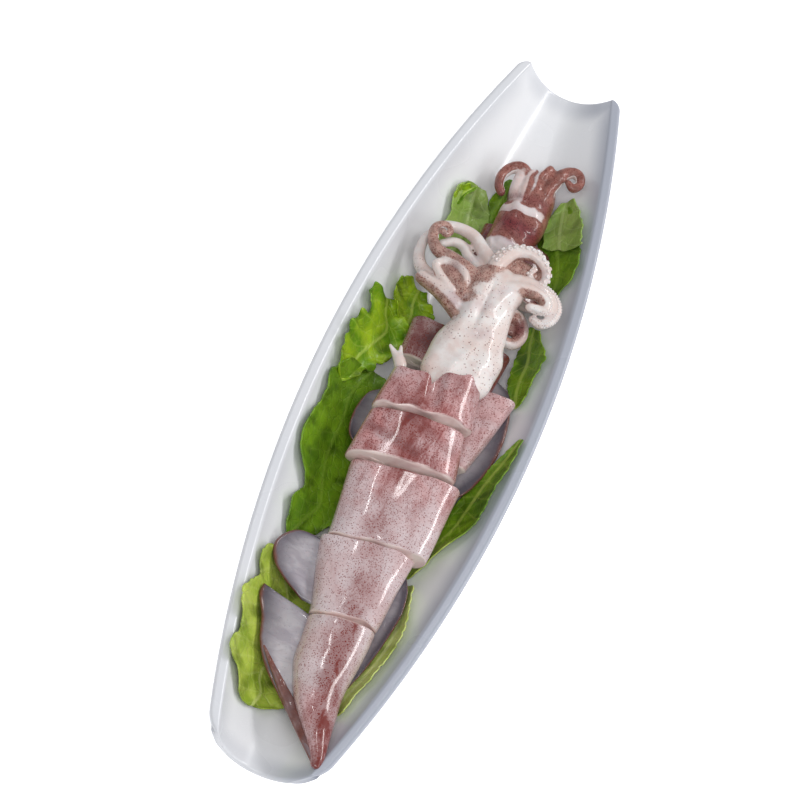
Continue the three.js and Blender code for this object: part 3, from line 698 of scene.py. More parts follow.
# Each end of a slice is [middle x, half width, middle z, half height] in mm.
slices = {
    "front_slice_b": {
        "tail": [7.5, 15.8, 25.5, 8.6], "head": [4.2, 22, 27, 8.8], "tailCut": cutLine(-119.5),
        "headCut": cutLine(-80.3), "blush": (0.1, 0.15), "seed": 2, "rim": 1.1, "asDrawn": True,
    },
    "front_slice_c": {
        "tail": [7.4, 23.4, 28, 9.4], "head": [6.2, 26.3, 30, 9], "tailCut": cutLine(-80.3),
        "headCut": cutLine(-39.7), "blush": (0.1, 0.6), "seed": 3, "rim": 0.9,
    },
    "front_slice_d": {
        "tail": [2.3, 26.2, 33, 11], "head": [1, 22.6, 35.5, 9], "tailCut": cutLine(-39.7),
        "headCut": cutLine(-13.3), "blush": (0.85, 0.85), "seed": 4, "rim": 1.7,
        "dusk": 0.12, "patches": 0.5,
    },
    "front_slice_e": {
        "tail": [1.9, 24.2, 37.5, 11], "head": [1.3, 21.2, 38, 9.5], "tailCut": cutLine(-13.3),
        "headCut": collarEdge, "dent": collarDent, "blush": (0.8, 0.6), "seed": 5, "rim": 1.5,
        "patches": 0.35,
    },
    "rear_slice_side": {
        "tail": [22.5, 9, 24, 4.6], "head": [27.2, 13.2, 28.4, 6.2], "tailCut": cutLine(-24, 0.1),
        "headCut": cutLine(17, 0.1), "roll": 0.22, "blush": (0.35, 0.5), "seed": 6, "patches": 0.15,
    },
    "rear_slice_middle": {
        "tail": [3.2, 24.5, 17, 7.4], "head": [3.4, 25.4, 17.4, 7.6], "tailCut": cutLine(25.4, 0.02),
        "headCut": cutLine(50, 0.02), "blush": (1.0, 0.6), "seed": 7, "dusk": 0.75, "patches": 0.35,
    },
    "rear_slice_head": {
        "tail": [10, 20.6, 17, 6], "head": [8.6, 18.6, 17, 6.6], "tailCut": cutLine(82, -0.05),
        "headCut": cutLine(114.5, -0.12), "blush": (1.0, 1.0), "seed": 8, "dusk": 0.9, "patches": 0.3,
    },
}


backStripe = {
    "y": [-190, -150, -120, -100, -75, -45, -15, 15],
    "x": [24.5, 12.5, 10, 7.5, 5, 4, -4, -2],
    "width": 6.5,
}


# Strength of the brownish stripe down the back, whose middle wanders from side to side.
def stripeAt(x, y):
    middle = np.interp(y, backStripe["y"], backStripe["x"])
    uneven = 0.75 + 0.35 * ripple(np.stack([x, y, y * 0], axis=-1), 14, 21)
    return (0.75 + 1.2 * bell(y, -24, 14)) * bell(x, middle, backStripe["width"]) * uneven


# Rings that close one end of a slice: first across its flat face, then over its quarter-round rim.
# Gives how far each ring lies inside the oval section and how far past the start of the rim it is.
def endRings(halfHeight, edge):
    over = np.linspace(0, math.pi / 2, 8)
    face = np.array([0.06, 0.35, 0.65, 0.85])  # shares of the half height that the face rings reach
    faceInset = np.maximum(halfHeight * (1 - face), edge + 0.05)
    inset = np.concatenate([faceInset, edge * (1 - np.sin(over))])
    return inset, np.concatenate([np.zeros(len(face)), edge * (1 - np.cos(over))])


def outOf(c, s, x):  # the way out of an oval section at each of its ring points
    return np.stack([c + 0 * x, 0 * x, s + 0 * x], axis=-1)


# A limp oval section carried from the tail cut to the head cut, whose rims are rounded over.
def makeSlice(name, spec, material):
    rows, columns, seed = mantle["rows"], mantle["columns"], spec["seed"]
    tailEdge, headEdge = spec.get("rim", mantle["tailEdge"]), mantle["headEdge"]
    angle = np.linspace(0, 2 * math.pi, columns, endpoint=False)
    tailInset, tailIn = endRings(spec["tail"][3], tailEdge)
    headInset, headIn = (part[::-1] for part in endRings(spec["head"][3], headEdge))
    ends, between = len(tailIn), rows - 2
    t = np.concatenate([np.zeros(ends), np.linspace(0, 1, rows)[1:-1], np.ones(ends)])
    inset = np.concatenate([tailInset, np.zeros(between), headInset])
    fromTail = np.concatenate([tailIn, np.full(between, tailEdge), np.zeros(ends)])
    fromHead = np.concatenate([np.zeros(ends), np.full(between, headEdge), headIn])
    uneven = 1 + 0.45 * np.sin(3.1 * angle + seed) * np.sin(5.3 * angle + 2 * seed)
    c, s = oval(angle, mantle["ovalPower"])
    tailShare, headShare = (1 - t)[:, None], t[:, None]
    section = np.array(spec["tail"]) * tailShare + np.array(spec["head"]) * headShare
    inset = inset[:, None] * uneven
    x0 = (section[:, 1:2] - inset) * c
    z0 = np.maximum(section[:, 3:4] - inset, 0.05) * s
    roll = spec.get("roll", 0)
    x = section[:, :1] + x0 * math.cos(roll) - z0 * math.sin(roll)
    z = section[:, 2:3] + x0 * math.sin(roll) + z0 * math.cos(roll)
    tailward, headward = spec["tailCut"](x) + fromTail[:, None], spec["headCut"](x) - fromHead[:, None]
    y = tailward * tailShare + headward * headShare
    rings = np.stack([x, y, z], axis=-1)
    # limp flesh: low swells over the sides and a little wandering of the cut rims
    swell = ripple(rings * [1, 0.6, 1], 24, seed) + 0.12 * ripple(rings * [1, 0.4, 1], 9, seed + 40)
    swell = mantle["sag"] * swell * smoothStep(z0 / section[:, 3:4], -0.9, 0.2)
    rings = rings + outOf(c, s, x) * swell[..., None]
    rings[..., 1] += 0.9 * ripple(rings * [1, 0, 1], 16, seed + 80)
    if "dent" in spec:
        rings[..., 2] -= spec["dent"](x, y) * (z0 > 0) * smoothStep(z0, 0, 4)
    points, faces = closedTube(rings)
    row = np.arange(len(t))[:, None] + 0 * x
    ragged = 1.2 * ripple(rings * [1, 0, 1], 12, seed + 90)
    cut = np.maximum(1 - smoothStep(row + ragged, 6.5, 9.5), smoothStep(row, len(t) - 8, len(t) - 5))
    blush = spec["blush"][0] * (1 - t) + spec["blush"][1] * t
    dusk = spec.get("dusk", 0) + spec.get("patches", 0) * ripple(rings, 12, seed + 70)
    marks = {
        "cut": ringMarks(cut), "blush": ringMarks(blush[:, None] + 0 * x),
        "stripe": ringMarks(np.clip(stripeAt(x, y), 0, 1)), "dusk": ringMarks(np.clip(dusk, 0, 1)),
    }
    fit = unmoved if spec.get("asDrawn") else placing(points, name)
    addPiece(name.replace("_", "") + "Flesh", placed(points, fit), faces, [name], material, marks)


tail = {
    # [y, middle x, half width, middle z, half height]
    "stations": [
        [-193.6, 22.6, 0.5, 37.4, 0.5], [-192.3, 22.3, 2.1, 37.2, 1.7], [-187, 21.4, 3.6, 36.4, 2.8],
        [-178, 17.8, 6, 34, 4.4], [-166, 12.8, 9.6, 30.6, 6], [-150, 9, 12.8, 27.6, 7.4],
        [-135, 8, 14.8, 26, 8], [-121.5, 7.6, 15.7, 25.3, 8.4],
    ],
    "rows": 130, "columns": 96, "power": 2.3,
}


# The tail cone: oval sections through the stations, closed by the flat cut at its head end.
def makeTail(material, fit):
    stations = through(tail["stations"], tail["rows"])
    closing = np.repeat(stations[-1:], 8, axis=0)
    over = np.linspace(0, math.pi / 2, 5)[1:]
    inset = np.concatenate([np.zeros(len(stations)), 1.2 * (1 - np.cos(over)), [2.5, 4, 6, 8]])
    ahead = np.concatenate([np.zeros(len(stations)), 1.2 * np.sin(over), np.full(4, 1.2)])
    stations = np.vstack([stations, closing])
    angle = np.linspace(0, 2 * math.pi, tail["columns"], endpoint=False)
    c, s = oval(angle, tail["power"])
    x = stations[:, 1:2] + np.maximum(stations[:, 2] - inset, 0.1)[:, None] * c
    z = stations[:, 3:4] + np.maximum(stations[:, 4] - inset, 0.1)[:, None] * s
    y = stations[:, :1] + ahead[:, None] + smoothStep(stations[:, :1], -150, -122) * mantle["cutTilt"] * x
    rings = np.stack([x, y, z], axis=-1)
    room = smoothStep(stations[:, 2:3], 1, 8)
    rings = rings + outOf(c, s, x) * (0.45 * ripple(rings, 20, 31) * room)[..., None]
    points, faces = closedTube(rings)
    row = np.arange(len(stations))[:, None] + 0 * x
    scratch = bell(x, -3.5, 1.1) * bell(y, -120.5, 2.8) * (z > 26)  # a short dark mark by the cut
    dusk = 0.5 * smoothStep(-y, 184, 193) + scratch
    marks = {
        "cut": ringMarks(smoothStep(row, tail["rows"] - 1.5, tail["rows"] + 2)),
        "blush": ringMarks(0.12 + 0.45 * smoothStep(-y, 145, 180)),
        "stripe": ringMarks(np.clip(stripeAt(x, y) * 2.2, 0, 1)),
        "dusk": ringMarks(np.clip(dusk, 0, 1)),
    }
    addPiece("tailCone", placed(points, fit), faces, ["front_tail"], material, marks)


fins = {
    "tailFin": {
        "node": "front_tail", "seed": 51, "fold": 1.0,
        "root": [[2, -122, 23], [3, -140, 24], [6, -155, 26], [12, -170, 30], [21, -188, 36.4]],
        "margin": [
            [-32, -118.5, 30], [-32, -124, 30], [-27, -132, 28], [-23, -143, 26], [-16, -153, 25.4],
            [-5, -164, 26.5], [7, -176.5, 30.5], [16, -187, 35.5], [21.5, -192, 37],
        ],
    },
    "sliceFin": {
        "node": "front_slice_b", "seed": 52, "shade": 0.25,
        "root": [[-2, -85.5, 24], [-1, -95, 24], [0, -105, 24], [2, -116, 24]],
        "margin": [
            [-17, -84.5, 27], [-27, -85, 28], [-33, -90, 28.5], [-35.5, -97, 28.5], [-32, -105, 28],
            [-24, -111, 27], [-14, -116, 26],
        ],
    },
    "rightFin": {
        "node": "front_fin_right", "seed": 53, "shade": 0.55,
        "root": [[19, -80, 18], [18, -100, 18], [17, -120, 18.5], [16, -146, 21]],
        "margin": [
            [26, -82, 22.5], [29.2, -90, 24], [30.6, -101, 24.6], [29, -116, 24.6], [26, -132, 24.8],
            [21.5, -148, 25],
        ],
    },
    "rearFinLeft": {
        "node": "rear_tail", "seed": 54, "shade": 0.25,
        "root": [[-8, -28, 16], [-10, -14, 16.5], [-10, 4, 16.5]],
        "margin": [[-22, -28, 19], [-27, -23, 20.5], [-28.5, -12, 21], [-26, 0, 20.5], [-20, 6, 19]],
    },
    "rearFinRight": {
        "node": "rear_tail", "seed": 55, "shade": 0.4,
        "root": [[16, -34, 15], [16, -10, 16], [16, 14, 16.4], [22, 33, 15.4]],
        "margin": [
            [31, -34, 20.5], [36.5, -26, 23], [40.6, -12, 25.5], [41.4, 2, 26], [39, 18, 24.8],
            [35, 30, 21], [28, 36.5, 17],
        ],
    },
}


# A sheet from the root line to the margin, thick at the root and thin at the margin, gently waved.
def finSurface(spec, rows=90, columns=36):
    inner = through(spec["root"], rows)[:, None, :]
    outer = through(spec["margin"], rows)[:, None, :]
    u = np.linspace(0, 1, columns)[None, :, None]
    middle = inner * (1 - u) + outer * u
    v = np.linspace(0, 1, rows)[:, None]
    flat = u[..., 0]
    middle[..., 2] += 0.8 * np.sin(5 * v + 3 * flat) * flat * (1 - flat) * 4
    middle[..., 2] += 0.5 * ripple(middle, 16, spec["seed"]) * flat
    ends = np.minimum(1, np.minimum(v, 1 - v) * 30 + 0.15)
    pastEdge = np.maximum(0, flat - 0.95) / 0.05
    half = (1.5 - 0.75 * flat ** 2) * np.sqrt(np.clip(1 - pastEdge ** 2, 0.02, 1)) * ends
    top, under = middle.copy(), middle.copy()
    top[..., 2] += half
    under[..., 2] -= half
    return top, under, flat + 0 * v, v + 0 * flat


# The fin sheet as one closed skin, with its margin mark at the edge and its shade mark near both ends.
def makeFin(name, spec, material, fit):
    top, under, across, along = finSurface(spec)
    loop = np.concatenate([top, under[:, ::-1]], axis=1)
    points, faces = closedTube(loop)
    mirrored = np.concatenate([across, across[:, ::-1]], axis=1)
    edge = smoothStep(mirrored + 0.02 * ripple(loop, 8, spec["seed"] + 9), 0.93, 0.985)
    fold = spec.get("fold", 0)
    lengthwise = np.concatenate([along, along[:, ::-1]], axis=1)
    strip = 0.5 * fold * smoothStep(lengthwise, 0.5, 0.62) * smoothStep(mirrored, 0.5, 0.75)
    shade = spec.get("shade", 0.1) + 0.6 * smoothStep(mirrored, 0.62, 0.98)
    shade = shade + 0.35 * (1 - smoothStep(lengthwise, 0.02, 0.3))
    marks = {"margin": ringMarks(np.clip(edge + strip, 0, 1)), "shade": ringMarks(np.clip(shade, 0, 1))}
    addPiece(name, placed(points, fit), faces, [spec["node"]], material, marks)


tailFold = {  # the rim of the lower fin, rolled over into a dark band that runs to the tip
    "route": [
        [-21, -144, 26.6], [-10, -155, 26.9], [-1, -164, 28.2], [8, -174, 31], [16, -184, 35],
        [21.4, -191.4, 37.2],
    ],
    "radius": [0.5, 1.5, 2.5, 3.0, 2.5, 1.2],
}


# A flattened round section carried along the rim of the lower fin.
def makeTailFold(material):
    route, radii = armLine(tailFold)
    rings = carried(route, radii, 36, squash=0.42)
    rings = rings + 0.3 * ripple(rings, 8, 91)[..., None] * [0, 0, 1]
    points, faces = closedTube(rings)
    marks = {"margin": 0.9 + 0.12 * ripple(points * [1, 0.5, 1], 7, 92), "shade": np.full(len(points), 0.4)}
    addPiece("tailFold", placed(points, unmoved), faces, ["front_tail"], material, marks)


rearTail = {
    # [y, middle x, half width, middle z, half height]
    "stations": [
        [-37.6, 4, 1, 15, 0.5], [-36, 4, 7, 15, 2], [-24, 4, 15, 15.4, 3.4], [0, 4, 20, 15.6, 3.8],
        [18, 4, 21, 15.6, 4], [22.4, 4, 20, 15.6, 3.6],
    ],
    "rows": 60, "columns": 64, "power": 2.2,
}


# The second squid's flat tail: oval sections through the stations, lying under the first squid.
def makeRearTail(material, fit):
    stations = through(rearTail["stations"], rearTail["rows"])
    angle = np.linspace(0, 2 * math.pi, rearTail["columns"], endpoint=False)
    c, s = oval(angle, rearTail["power"])
    x = stations[:, 1:2] + stations[:, 2:3] * c
    z = stations[:, 3:4] + stations[:, 4:5] * s
    points, faces = closedTube(np.stack([x, stations[:, :1] + 0 * x, z], axis=-1))
    marks = {"margin": np.zeros(len(points)), "shade": np.full(len(points), 0.5)}
    addPiece("rearTailBody", placed(points, fit), faces, ["rear_tail"], material, marks)


# A round section carried along a route, with round ends, whose first point is the highest.
def carried(route, radii, columns=28, squash=1.0):
    tangent = unit(np.gradient(route, axis=0))
    over = np.linspace(0, math.pi / 2, 7)[1:]
    before = route[0] - tangent[0] * radii[0] * np.sin(over)[::-1, None]
    after = route[-1] + tangent[-1] * radii[-1] * np.sin(over)[:, None]
    line = np.vstack([before, route, after])
    thin = np.maximum(np.cos(over), 0.02)
    sizes = np.concatenate([radii[0] * thin[::-1], radii, radii[-1] * thin])
    ahead = np.vstack([np.repeat(tangent[:1], 6, axis=0), tangent, np.repeat(tangent[-1:], 6, axis=0)])
    left, upward = armFrame(ahead)
    angle = np.linspace(0, 2 * math.pi, columns, endpoint=False)
    ring = np.cos(angle)[:, None] * upward[:, None, :] * squash + np.sin(angle)[:, None] * left[:, None, :]
    return line[:, None, :] + sizes[:, None, None] * ring


# oral is the way the pale sucker side faces: 0 up, 90 left of the arm's run, -90 right of it.
frontHead = {
    "cell": 0.55, "relax": 7,
    "body": [
        [-1, 7, 8, 36, 5], [8, 8, 16.5, 36.6, 8], [18, 8.5, 17.5, 37, 9], [28, 9, 17.6, 37, 9],
        [35, 8.8, 15.6, 37, 9], [44, 9.5, 13.4, 37.5, 9], [53, 8.8, 13, 38, 9.4],
        [61, 7, 14, 38.6, 9.4], [68, 7.5, 15, 39, 8], [75, 8, 11.5, 39.5, 6], [80.5, 7.5, 5, 39.5, 3],
    ],
    "arms": {
        "leftCurl": {
            "route": [
                [2, 64, 40], [-8, 69, 41], [-17, 72, 41], [-24.5, 74, 40], [-29, 80, 39],
                [-30, 87, 38.5], [-26.5, 91, 38.5], [-22.8, 88.5, 39], [-24, 84.5, 40], [-26.5, 85.5, 41],
            ],
            "radius": [5.4, 4.6, 3.6, 2.7, 2.1, 1.6], "oral": -100, "white": 0.2,
            "suckers": 0.8, "suckersFrom": 0.6,
        },
        "hollowBed": {
            "route": [[0, 53, 40.5], [-7, 59, 41], [-14, 63, 41], [-19, 65, 40]],
            "radius": [4.5, 5.0, 4.4, 3], "squash": 0.7, "oral": 0, "white": -1,
        },
        "leftHollow": {
            "route": [
                [-3, 54, 42], [-6, 62, 43.4], [-11, 67.4, 43.4], [-18, 68, 42.6], [-22.5, 65, 42],
                [-19, 60, 42], [-10, 54, 42],
            ],
            "radius": [2.8, 2.4, 2.1, 2.1, 2.1, 1.8], "oral": 0, "white": 0.5,
        },
        "leftStripe": {
            "route": [[0, 45, 38], [-8, 48.5, 40], [-16, 53, 39], [-25.5, 57.5, 36.5]],
            "radius": [5.6, 4.8, 4.2, 3.8], "oral": -12, "white": 0.22,
        },
        "leftPale": {
            "route": [
                [-22, 60, 36], [-28.5, 64.5, 34.5], [-32, 72, 33.5], [-32.5, 81, 33.5],
                [-30.5, 87, 34],
            ],
            "radius": [3.6, 3.2, 2.6, 2.2], "oral": 0, "white": 2,
        },
        "tentacleUpper": {
            "route": [
                [8, 76, 38], [2, 82, 38], [-4, 87, 37], [-11, 93, 36.5], [-18, 94.5, 36], [-25, 93.5, 35],
                [-29.5, 91, 33],
            ],
            "radius": [4.4, 3.4, 2.6], "oral": 0, "white": 2,
        },
        "tentacleLower": {
            "route": [
                [6, 74, 35], [-2, 78, 34.5], [-9, 82, 33.5], [-13.5, 87, 33], [-19, 87.5, 33],
                [-24, 83.5, 33],
            ],
            "radius": [4.0, 3.0, 2.2], "oral": 0, "white": 2,
        },
        "suckerLoop": {
            "route": [
                [5, 70, 41], [4.5, 78, 42], [7.5, 87.5, 43], [14, 92.6, 43], [21, 92.5, 43], [27, 88, 42],
                [28, 82, 41], [24.5, 79.5, 41], [20.5, 82.5, 42], [22, 86, 43],
            ],
            "radius": [5.0, 4.4, 3.9, 3.4, 2.6, 1.8, 1.4], "oral": 44, "white": 0.66,
            "suckers": 2.4, "suckersFrom": 0.16, "spread": 28,
        },
        "loopBed": {
            "route": [[10, 80, 38.5], [17, 85, 38.5], [24, 84, 38.5]],
            "radius": [5, 5.4, 4], "squash": 0.6, "oral": 0, "white": -1,
        },
        "outerRight": {
            "route": [
                [9, 68, 40], [16, 74.5, 41], [25, 76.6, 41], [33, 76.2, 40], [38.2, 71.5, 39],
                [38.2, 64.5, 38], [34.5, 60.5, 37.5], [30.5, 61.5, 37.5],
            ],
            "radius": [5.4, 4.8, 4.2, 3.6, 3.0, 2.2], "oral": 45, "white": 0.7,
            "suckers": 1.3, "suckersFrom": 0.4,
        },
        "innerRight": {
            "route": [
                [11, 66, 42], [20, 71.5, 43], [28, 73, 42.5], [33.4, 70, 42], [33, 66, 42],
                [27, 64.5, 42],
            ],
            "radius": [5.0, 4.0, 3.2, 2.6], "oral": 70, "white": 0.5, "suckers": 0.95, "suckersFrom": 0.45,
        },
        "rightWeb": {
            "route": [[8, 60, 40], [14, 68, 40.5], [21, 73, 40.5]],
            "radius": [6.5, 6.2, 4.2], "squash": 0.7, "oral": 0, "white": 2,
        },
        "lowRight": {
            "route": [
                [16, 59, 34], [23.5, 61, 33], [28, 56.5, 31.5], [28.6, 51, 31], [26, 47, 30.5],
                [21, 46.6, 31],
            ],
            "radius": [4.2, 3.8, 3.2, 2.8], "oral": 90, "white": 0.45,
        },
        "lowRightBed": {
            "route": [[18, 56, 31], [26, 55, 30]],
            "radius": [4.5, 3.4], "squash": 0.6, "oral": 0, "white": -1,
        },
    },
}

rearHead = {
    "cell": 0.5, "relax": 6,
    "body": [
        [94.4, 3, 5, 24, 3], [101, 3.5, 9.5, 24, 6.5], [109, 5.2, 11.3, 23, 8.6], [118, 6.3, 12.4, 22, 10],
        [125, 6.5, 12.4, 22, 10], [129, 7, 11.4, 21.8, 9.6], [134, 6.4, 12, 21.6, 9.6],
        [141, 5.8, 11.6, 21.6, 8.2], [147, 5.4, 9.4, 22, 6.4], [150.5, 5.2, 4, 22, 3],
    ],
    "arms": {
        "leftCurl": {
            "route": [
                [2, 143, 25], [-4, 148, 25.5], [-9, 146.5, 25], [-12, 141, 24.5], [-11.5, 135, 24],
                [-9, 131.5, 24],
            ],
            "radius": [3.6, 2.2], "oral": 80, "white": 0.12, "suckers": 0.7,
        },
        "paleUnderside": {
            "route": [[1, 128, 25], [-2.5, 134, 25.5], [-3.5, 141, 26], [-3, 147, 25.5]],
            "radius": [3.6, 2.6], "oral": 40, "white": 0.75,
        },
        "middleLeft": {
            "route": [[2, 128, 28], [1.6, 136, 28.6], [1, 143, 28], [2.5, 149, 26]],
            "radius": [2.6, 2.0], "oral": 80, "white": 0.42,
        },
        "middle": {
            "route": [[6, 128, 28.4], [6.5, 138, 29], [6, 146, 28.5], [8.5, 153, 27.6]],
            "radius": [2.5, 2.3], "oral": 90, "white": 0.3,
        },
        "middleRight": {
            "route": [[11, 128, 27.6], [11.5, 138, 28], [11, 146, 27.6], [10.5, 152, 27]],
            "radius": [2.5, 2.3], "oral": 100, "white": 0.26,
        },
        "rightCurl": {
            "route": [
                [10, 136, 26], [13, 146, 27], [15, 152, 28], [19, 156, 29], [23, 155.5, 29.5],
                [25, 151, 29.5], [22.5, 147.5, 29.5], [19.5, 149, 30],
            ],
            "radius": [4.2, 1.9], "oral": -90, "white": 0.1, "suckers": 0.7,
        },
    },
}


# A lump of flesh: oval sections through stations [y, middle x, half width, middle z, half height].
def bodyRings(stations, rows=110, columns=80, power=2.2):
    smooth = through(stations, rows)
    angle = np.linspace(0, 2 * math.pi, columns, endpoint=False)
    c, s = oval(angle, power)
    x = smooth[:, 1:2] + smooth[:, 2:3] * c
    z = smooth[:, 3:4] + smooth[:, 4:5] * s
    return np.stack([x, smooth[:, :1] + 0 * x, z], axis=-1)


def armLine(arm):
    route = through(arm["route"], 90)
    radii = np.interp(np.linspace(0, 1, 90), np.linspace(0, 1, len(arm["radius"])), arm["radius"])
    return route, radii


def armRings(arm):
    route, radii = armLine(arm)
    return carried(route, radii, squash=arm.get("squash", 1.0))


# One skin round closed shells that run into each other, its creases then eased by averaging neighbours.
def fused(shells, cell, relax):
    points, faces, start = [], [], 0
    for rings in shells:
        shellPoints, shellFaces = closedTube(rings)
        points.append(shellPoints)
        faces += [(face + start).tolist() for face in shellFaces]
        start += len(shellPoints)
    mesh = bpy.data.meshes.new("shells")
    mesh.from_pydata((np.vstack(points) * mm).tolist(), [], faces)
    rough = bpy.data.objects.new("shells", mesh)
    scene.collection.objects.link(rough)
    remesh = rough.modifiers.new("skin", "REMESH")
    remesh.mode = "VOXEL"
    remesh.voxel_size = cell * mm
    joined = rough.evaluated_get(bpy.context.evaluated_depsgraph_get()).to_mesh()
    co = np.empty(3 * len(joined.vertices))
    joined.vertices.foreach_get("co", co)
    corners = np.empty(len(joined.loops), np.int32)
    joined.loops.foreach_get("vertex_index", corners)
    edges = np.empty(2 * len(joined.edges), np.int32)
    joined.edges.foreach_get("vertices", edges)
    skin, quads, edges = co.reshape(-1, 3) / mm, corners.reshape(-1, 4), edges.reshape(-1, 2)
    bpy.data.objects.remove(rough)
    bpy.data.meshes.remove(mesh)
    here, there = np.concatenate([edges, edges[:, ::-1]]).T
    share = np.bincount(here, minlength=len(skin))[:, None]
    for _ in range(relax):
        pulled = np.stack([np.bincount(here, skin[there, k], minlength=len(skin)) for k in range(3)], axis=1)
        skin = skin * 0.45 + pulled / share * 0.55
    return skin, quads


def armFrame(ahead):  # the directions to the left of an arm's run and upwards from it
    left = unit(np.cross([0, 0, 1.0], ahead))
    return left, unit(np.cross(ahead, left))


# Brown mark of each point: that of the arm it is nearest to, or of the body, blended over half a mm.
def nearestArm(points, arms, bodyMark, bodyLine):
    x, y, z = points.T
    middleX, radius, middleZ = (np.interp(y, bodyLine[:, 0], bodyLine[:, k]) for k in (1, 2, 3))
    away = np.hypot(x - middleX, (z - middleZ) * 1.4) - radius
    past = np.maximum(bodyLine[0, 0] - y, y - bodyLine[-1, 0])
    gaps, browns = [np.maximum(away, past)], [bodyMark]
    for arm in arms.values():
        route, radii = armLine(arm)
        route, radii = route[::2], radii[::2]
        tangent = unit(np.gradient(route, axis=0))
        offset = points[:, None, :] - route[None, :, :]
        gap = np.linalg.norm(offset, axis=2) - radii[None, :]
        pick = gap.argmin(axis=1)
        chosen = offset[np.arange(len(points)), pick]
        left, upward = armFrame(tangent[pick])
        angle = np.arctan2((chosen * left).sum(axis=1), (chosen * upward).sum(axis=1))
        angle = angle - math.radians(arm["oral"])
        turned = np.abs((angle + math.pi) % (2 * math.pi) - math.pi) / math.pi
        gaps.append(gap[np.arange(len(points)), pick])
        browns.append(smoothStep(turned, arm["white"] - 0.12, arm["white"] + 0.12))
    weight = np.exp(-(np.array(gaps) - np.min(gaps, axis=0)) / 0.5)
    return (weight * np.array(browns)).sum(axis=0) / weight.sum(axis=0)


headMarks = ("brown", "deep", "tint", "freckles")


# Two rows of little cups along the pale side: each a ring with a dimple, facing outwards.
def makeSuckers(arm):
    route, radii = armLine(arm)
    size = arm["suckers"]
    length = np.concatenate([[0], np.cumsum(np.linalg.norm(np.diff(route, axis=0), axis=1))])
    count = int(length[-1] * 0.85 / (0.6 * size))
    at = np.linspace(arm.get("suckersFrom", 0.16), 0.985, count) * length[-1]
    base = np.stack([np.interp(at, length, route[:, k]) for k in range(3)], axis=1)
    tangent = unit(np.gradient(route, axis=0))
    ahead = unit(np.stack([np.interp(at, length, tangent[:, k]) for k in range(3)], axis=1))
    radius = np.interp(at, length, radii)
    left, upward = armFrame(ahead)
    side = (np.arange(count) % 2 - 0.5) * 2 * math.radians(arm.get("spread", 24))
    angle = math.radians(arm["oral"]) + side
    outwards = np.cos(angle)[:, None] * upward + np.sin(angle)[:, None] * left
    across = unit(np.cross(ahead, outwards))
    scale = size * 0.5 * (1.1 - 0.5 * at / length[-1])
    profile = np.array([[1.0, -0.7], [1.15, 0.1], [0.95, 0.5], [0.62, 0.4], [0.35, 0.1], [0.05, 0.0]])
    turn = np.linspace(0, 2 * math.pi, 10, endpoint=False)
    ahead, across, outwards, foot = (
        part[:, None, None, :] for part in (ahead, across, outwards, base + outwards * radius[:, None]))
    around = np.cos(turn)[:, None] * ahead + np.sin(turn)[:, None] * across
    wide, high = profile[:, 0, None, None], profile[:, 1, None, None]
    return foot + scale[:, None, None, None] * (wide * around + high * outwards)


# All the cups of one head as one mesh, each cup a small grid closed at both ends.
def joinCups(name, cupSets, node, material, fit):
    cups = np.concatenate(cupSets)
    number, rows, columns, _ = cups.shape
    one = gridFaces(rows, columns, wrap=True)
    around = np.arange(columns)
    ends = np.array([around[::-1], (rows - 1) * columns + around])
    offsets = (np.arange(number) * rows * columns)[:, None, None]
    faces = list((one[None] + offsets).reshape(-1, 4)) + list((ends[None] + offsets).reshape(-1, columns))
    points = cups.reshape(-1, 3)
    marks = {key: np.zeros(len(points)) for key in headMarks}
    addPiece(name, placed(points, fit), [face[::-1] for face in faces], [node], material, marks)


# Body and arms run into one skin, fitted by the box round the shells, then shaped, marked and cupped.
def makeHead(name, head, node, materials, shapeBody, markBody):
    shells = [bodyRings(head["body"])] + [armRings(arm) for arm in head["arms"].values()]
    fit = placing(np.vstack([rings.reshape(-1, 3) for rings in shells]), node)
    skin, quads = fused(shells, head["cell"], head["relax"])
    skin = shapeBody(skin)
    bodyBrown, deep, tint = markBody(skin)
    brown = nearestArm(skin, head["arms"], bodyBrown, np.array(head["body"]))
    freckles = smoothStep(ripple(skin, 22, 68), -0.9, 0.3) * (1 - smoothStep(skin[:, 1], 66, 74))
    marks = {"brown": brown, "deep": deep, "tint": tint, "freckles": freckles}
    marks = {key: np.clip(value, 0, 1) for key, value in marks.items()}
    addPiece(name + "Flesh", placed(skin, fit), list(quads), [node], materials[0], marks)
    cupSets = [makeSuckers(arm) for arm in head["arms"].values() if arm.get("suckers")]
    joinCups(name + "Suckers", cupSets, node, materials[1], fit)


# Folds along the collar, the rounded end of the funnel and a groove on each side of it.
def shapeFrontBody(p):
    x, y, z = p.T
    top = smoothStep(z, 36, 43) * (1 - smoothStep(y, 62, 70)) * smoothStep(14 - np.abs(x - 6), -2, 4)
    folds = 0.8 * ripple(p * [1, 0.4, 0.4], 11, 61) + 0.22 * ripple(p * [1, 0.4, 0.5], 4.5, 62)
    funnel = 2.2 * bell(x, 1.0 + 0.08 * (y - 50), 3.2) * (1 - smoothStep(y, 54, 56.5)) * smoothStep(y, 32, 48)
    rightGroove = bell(x, 6.2, 1.4) * smoothStep(y, 30, 50)
    leftGroove = 0.8 * bell(x, -3.6, 1.3) * smoothStep(y, 32, 45)
    p[:, 2] += (folds + funnel - rightGroove - leftGroove) * top
    return p
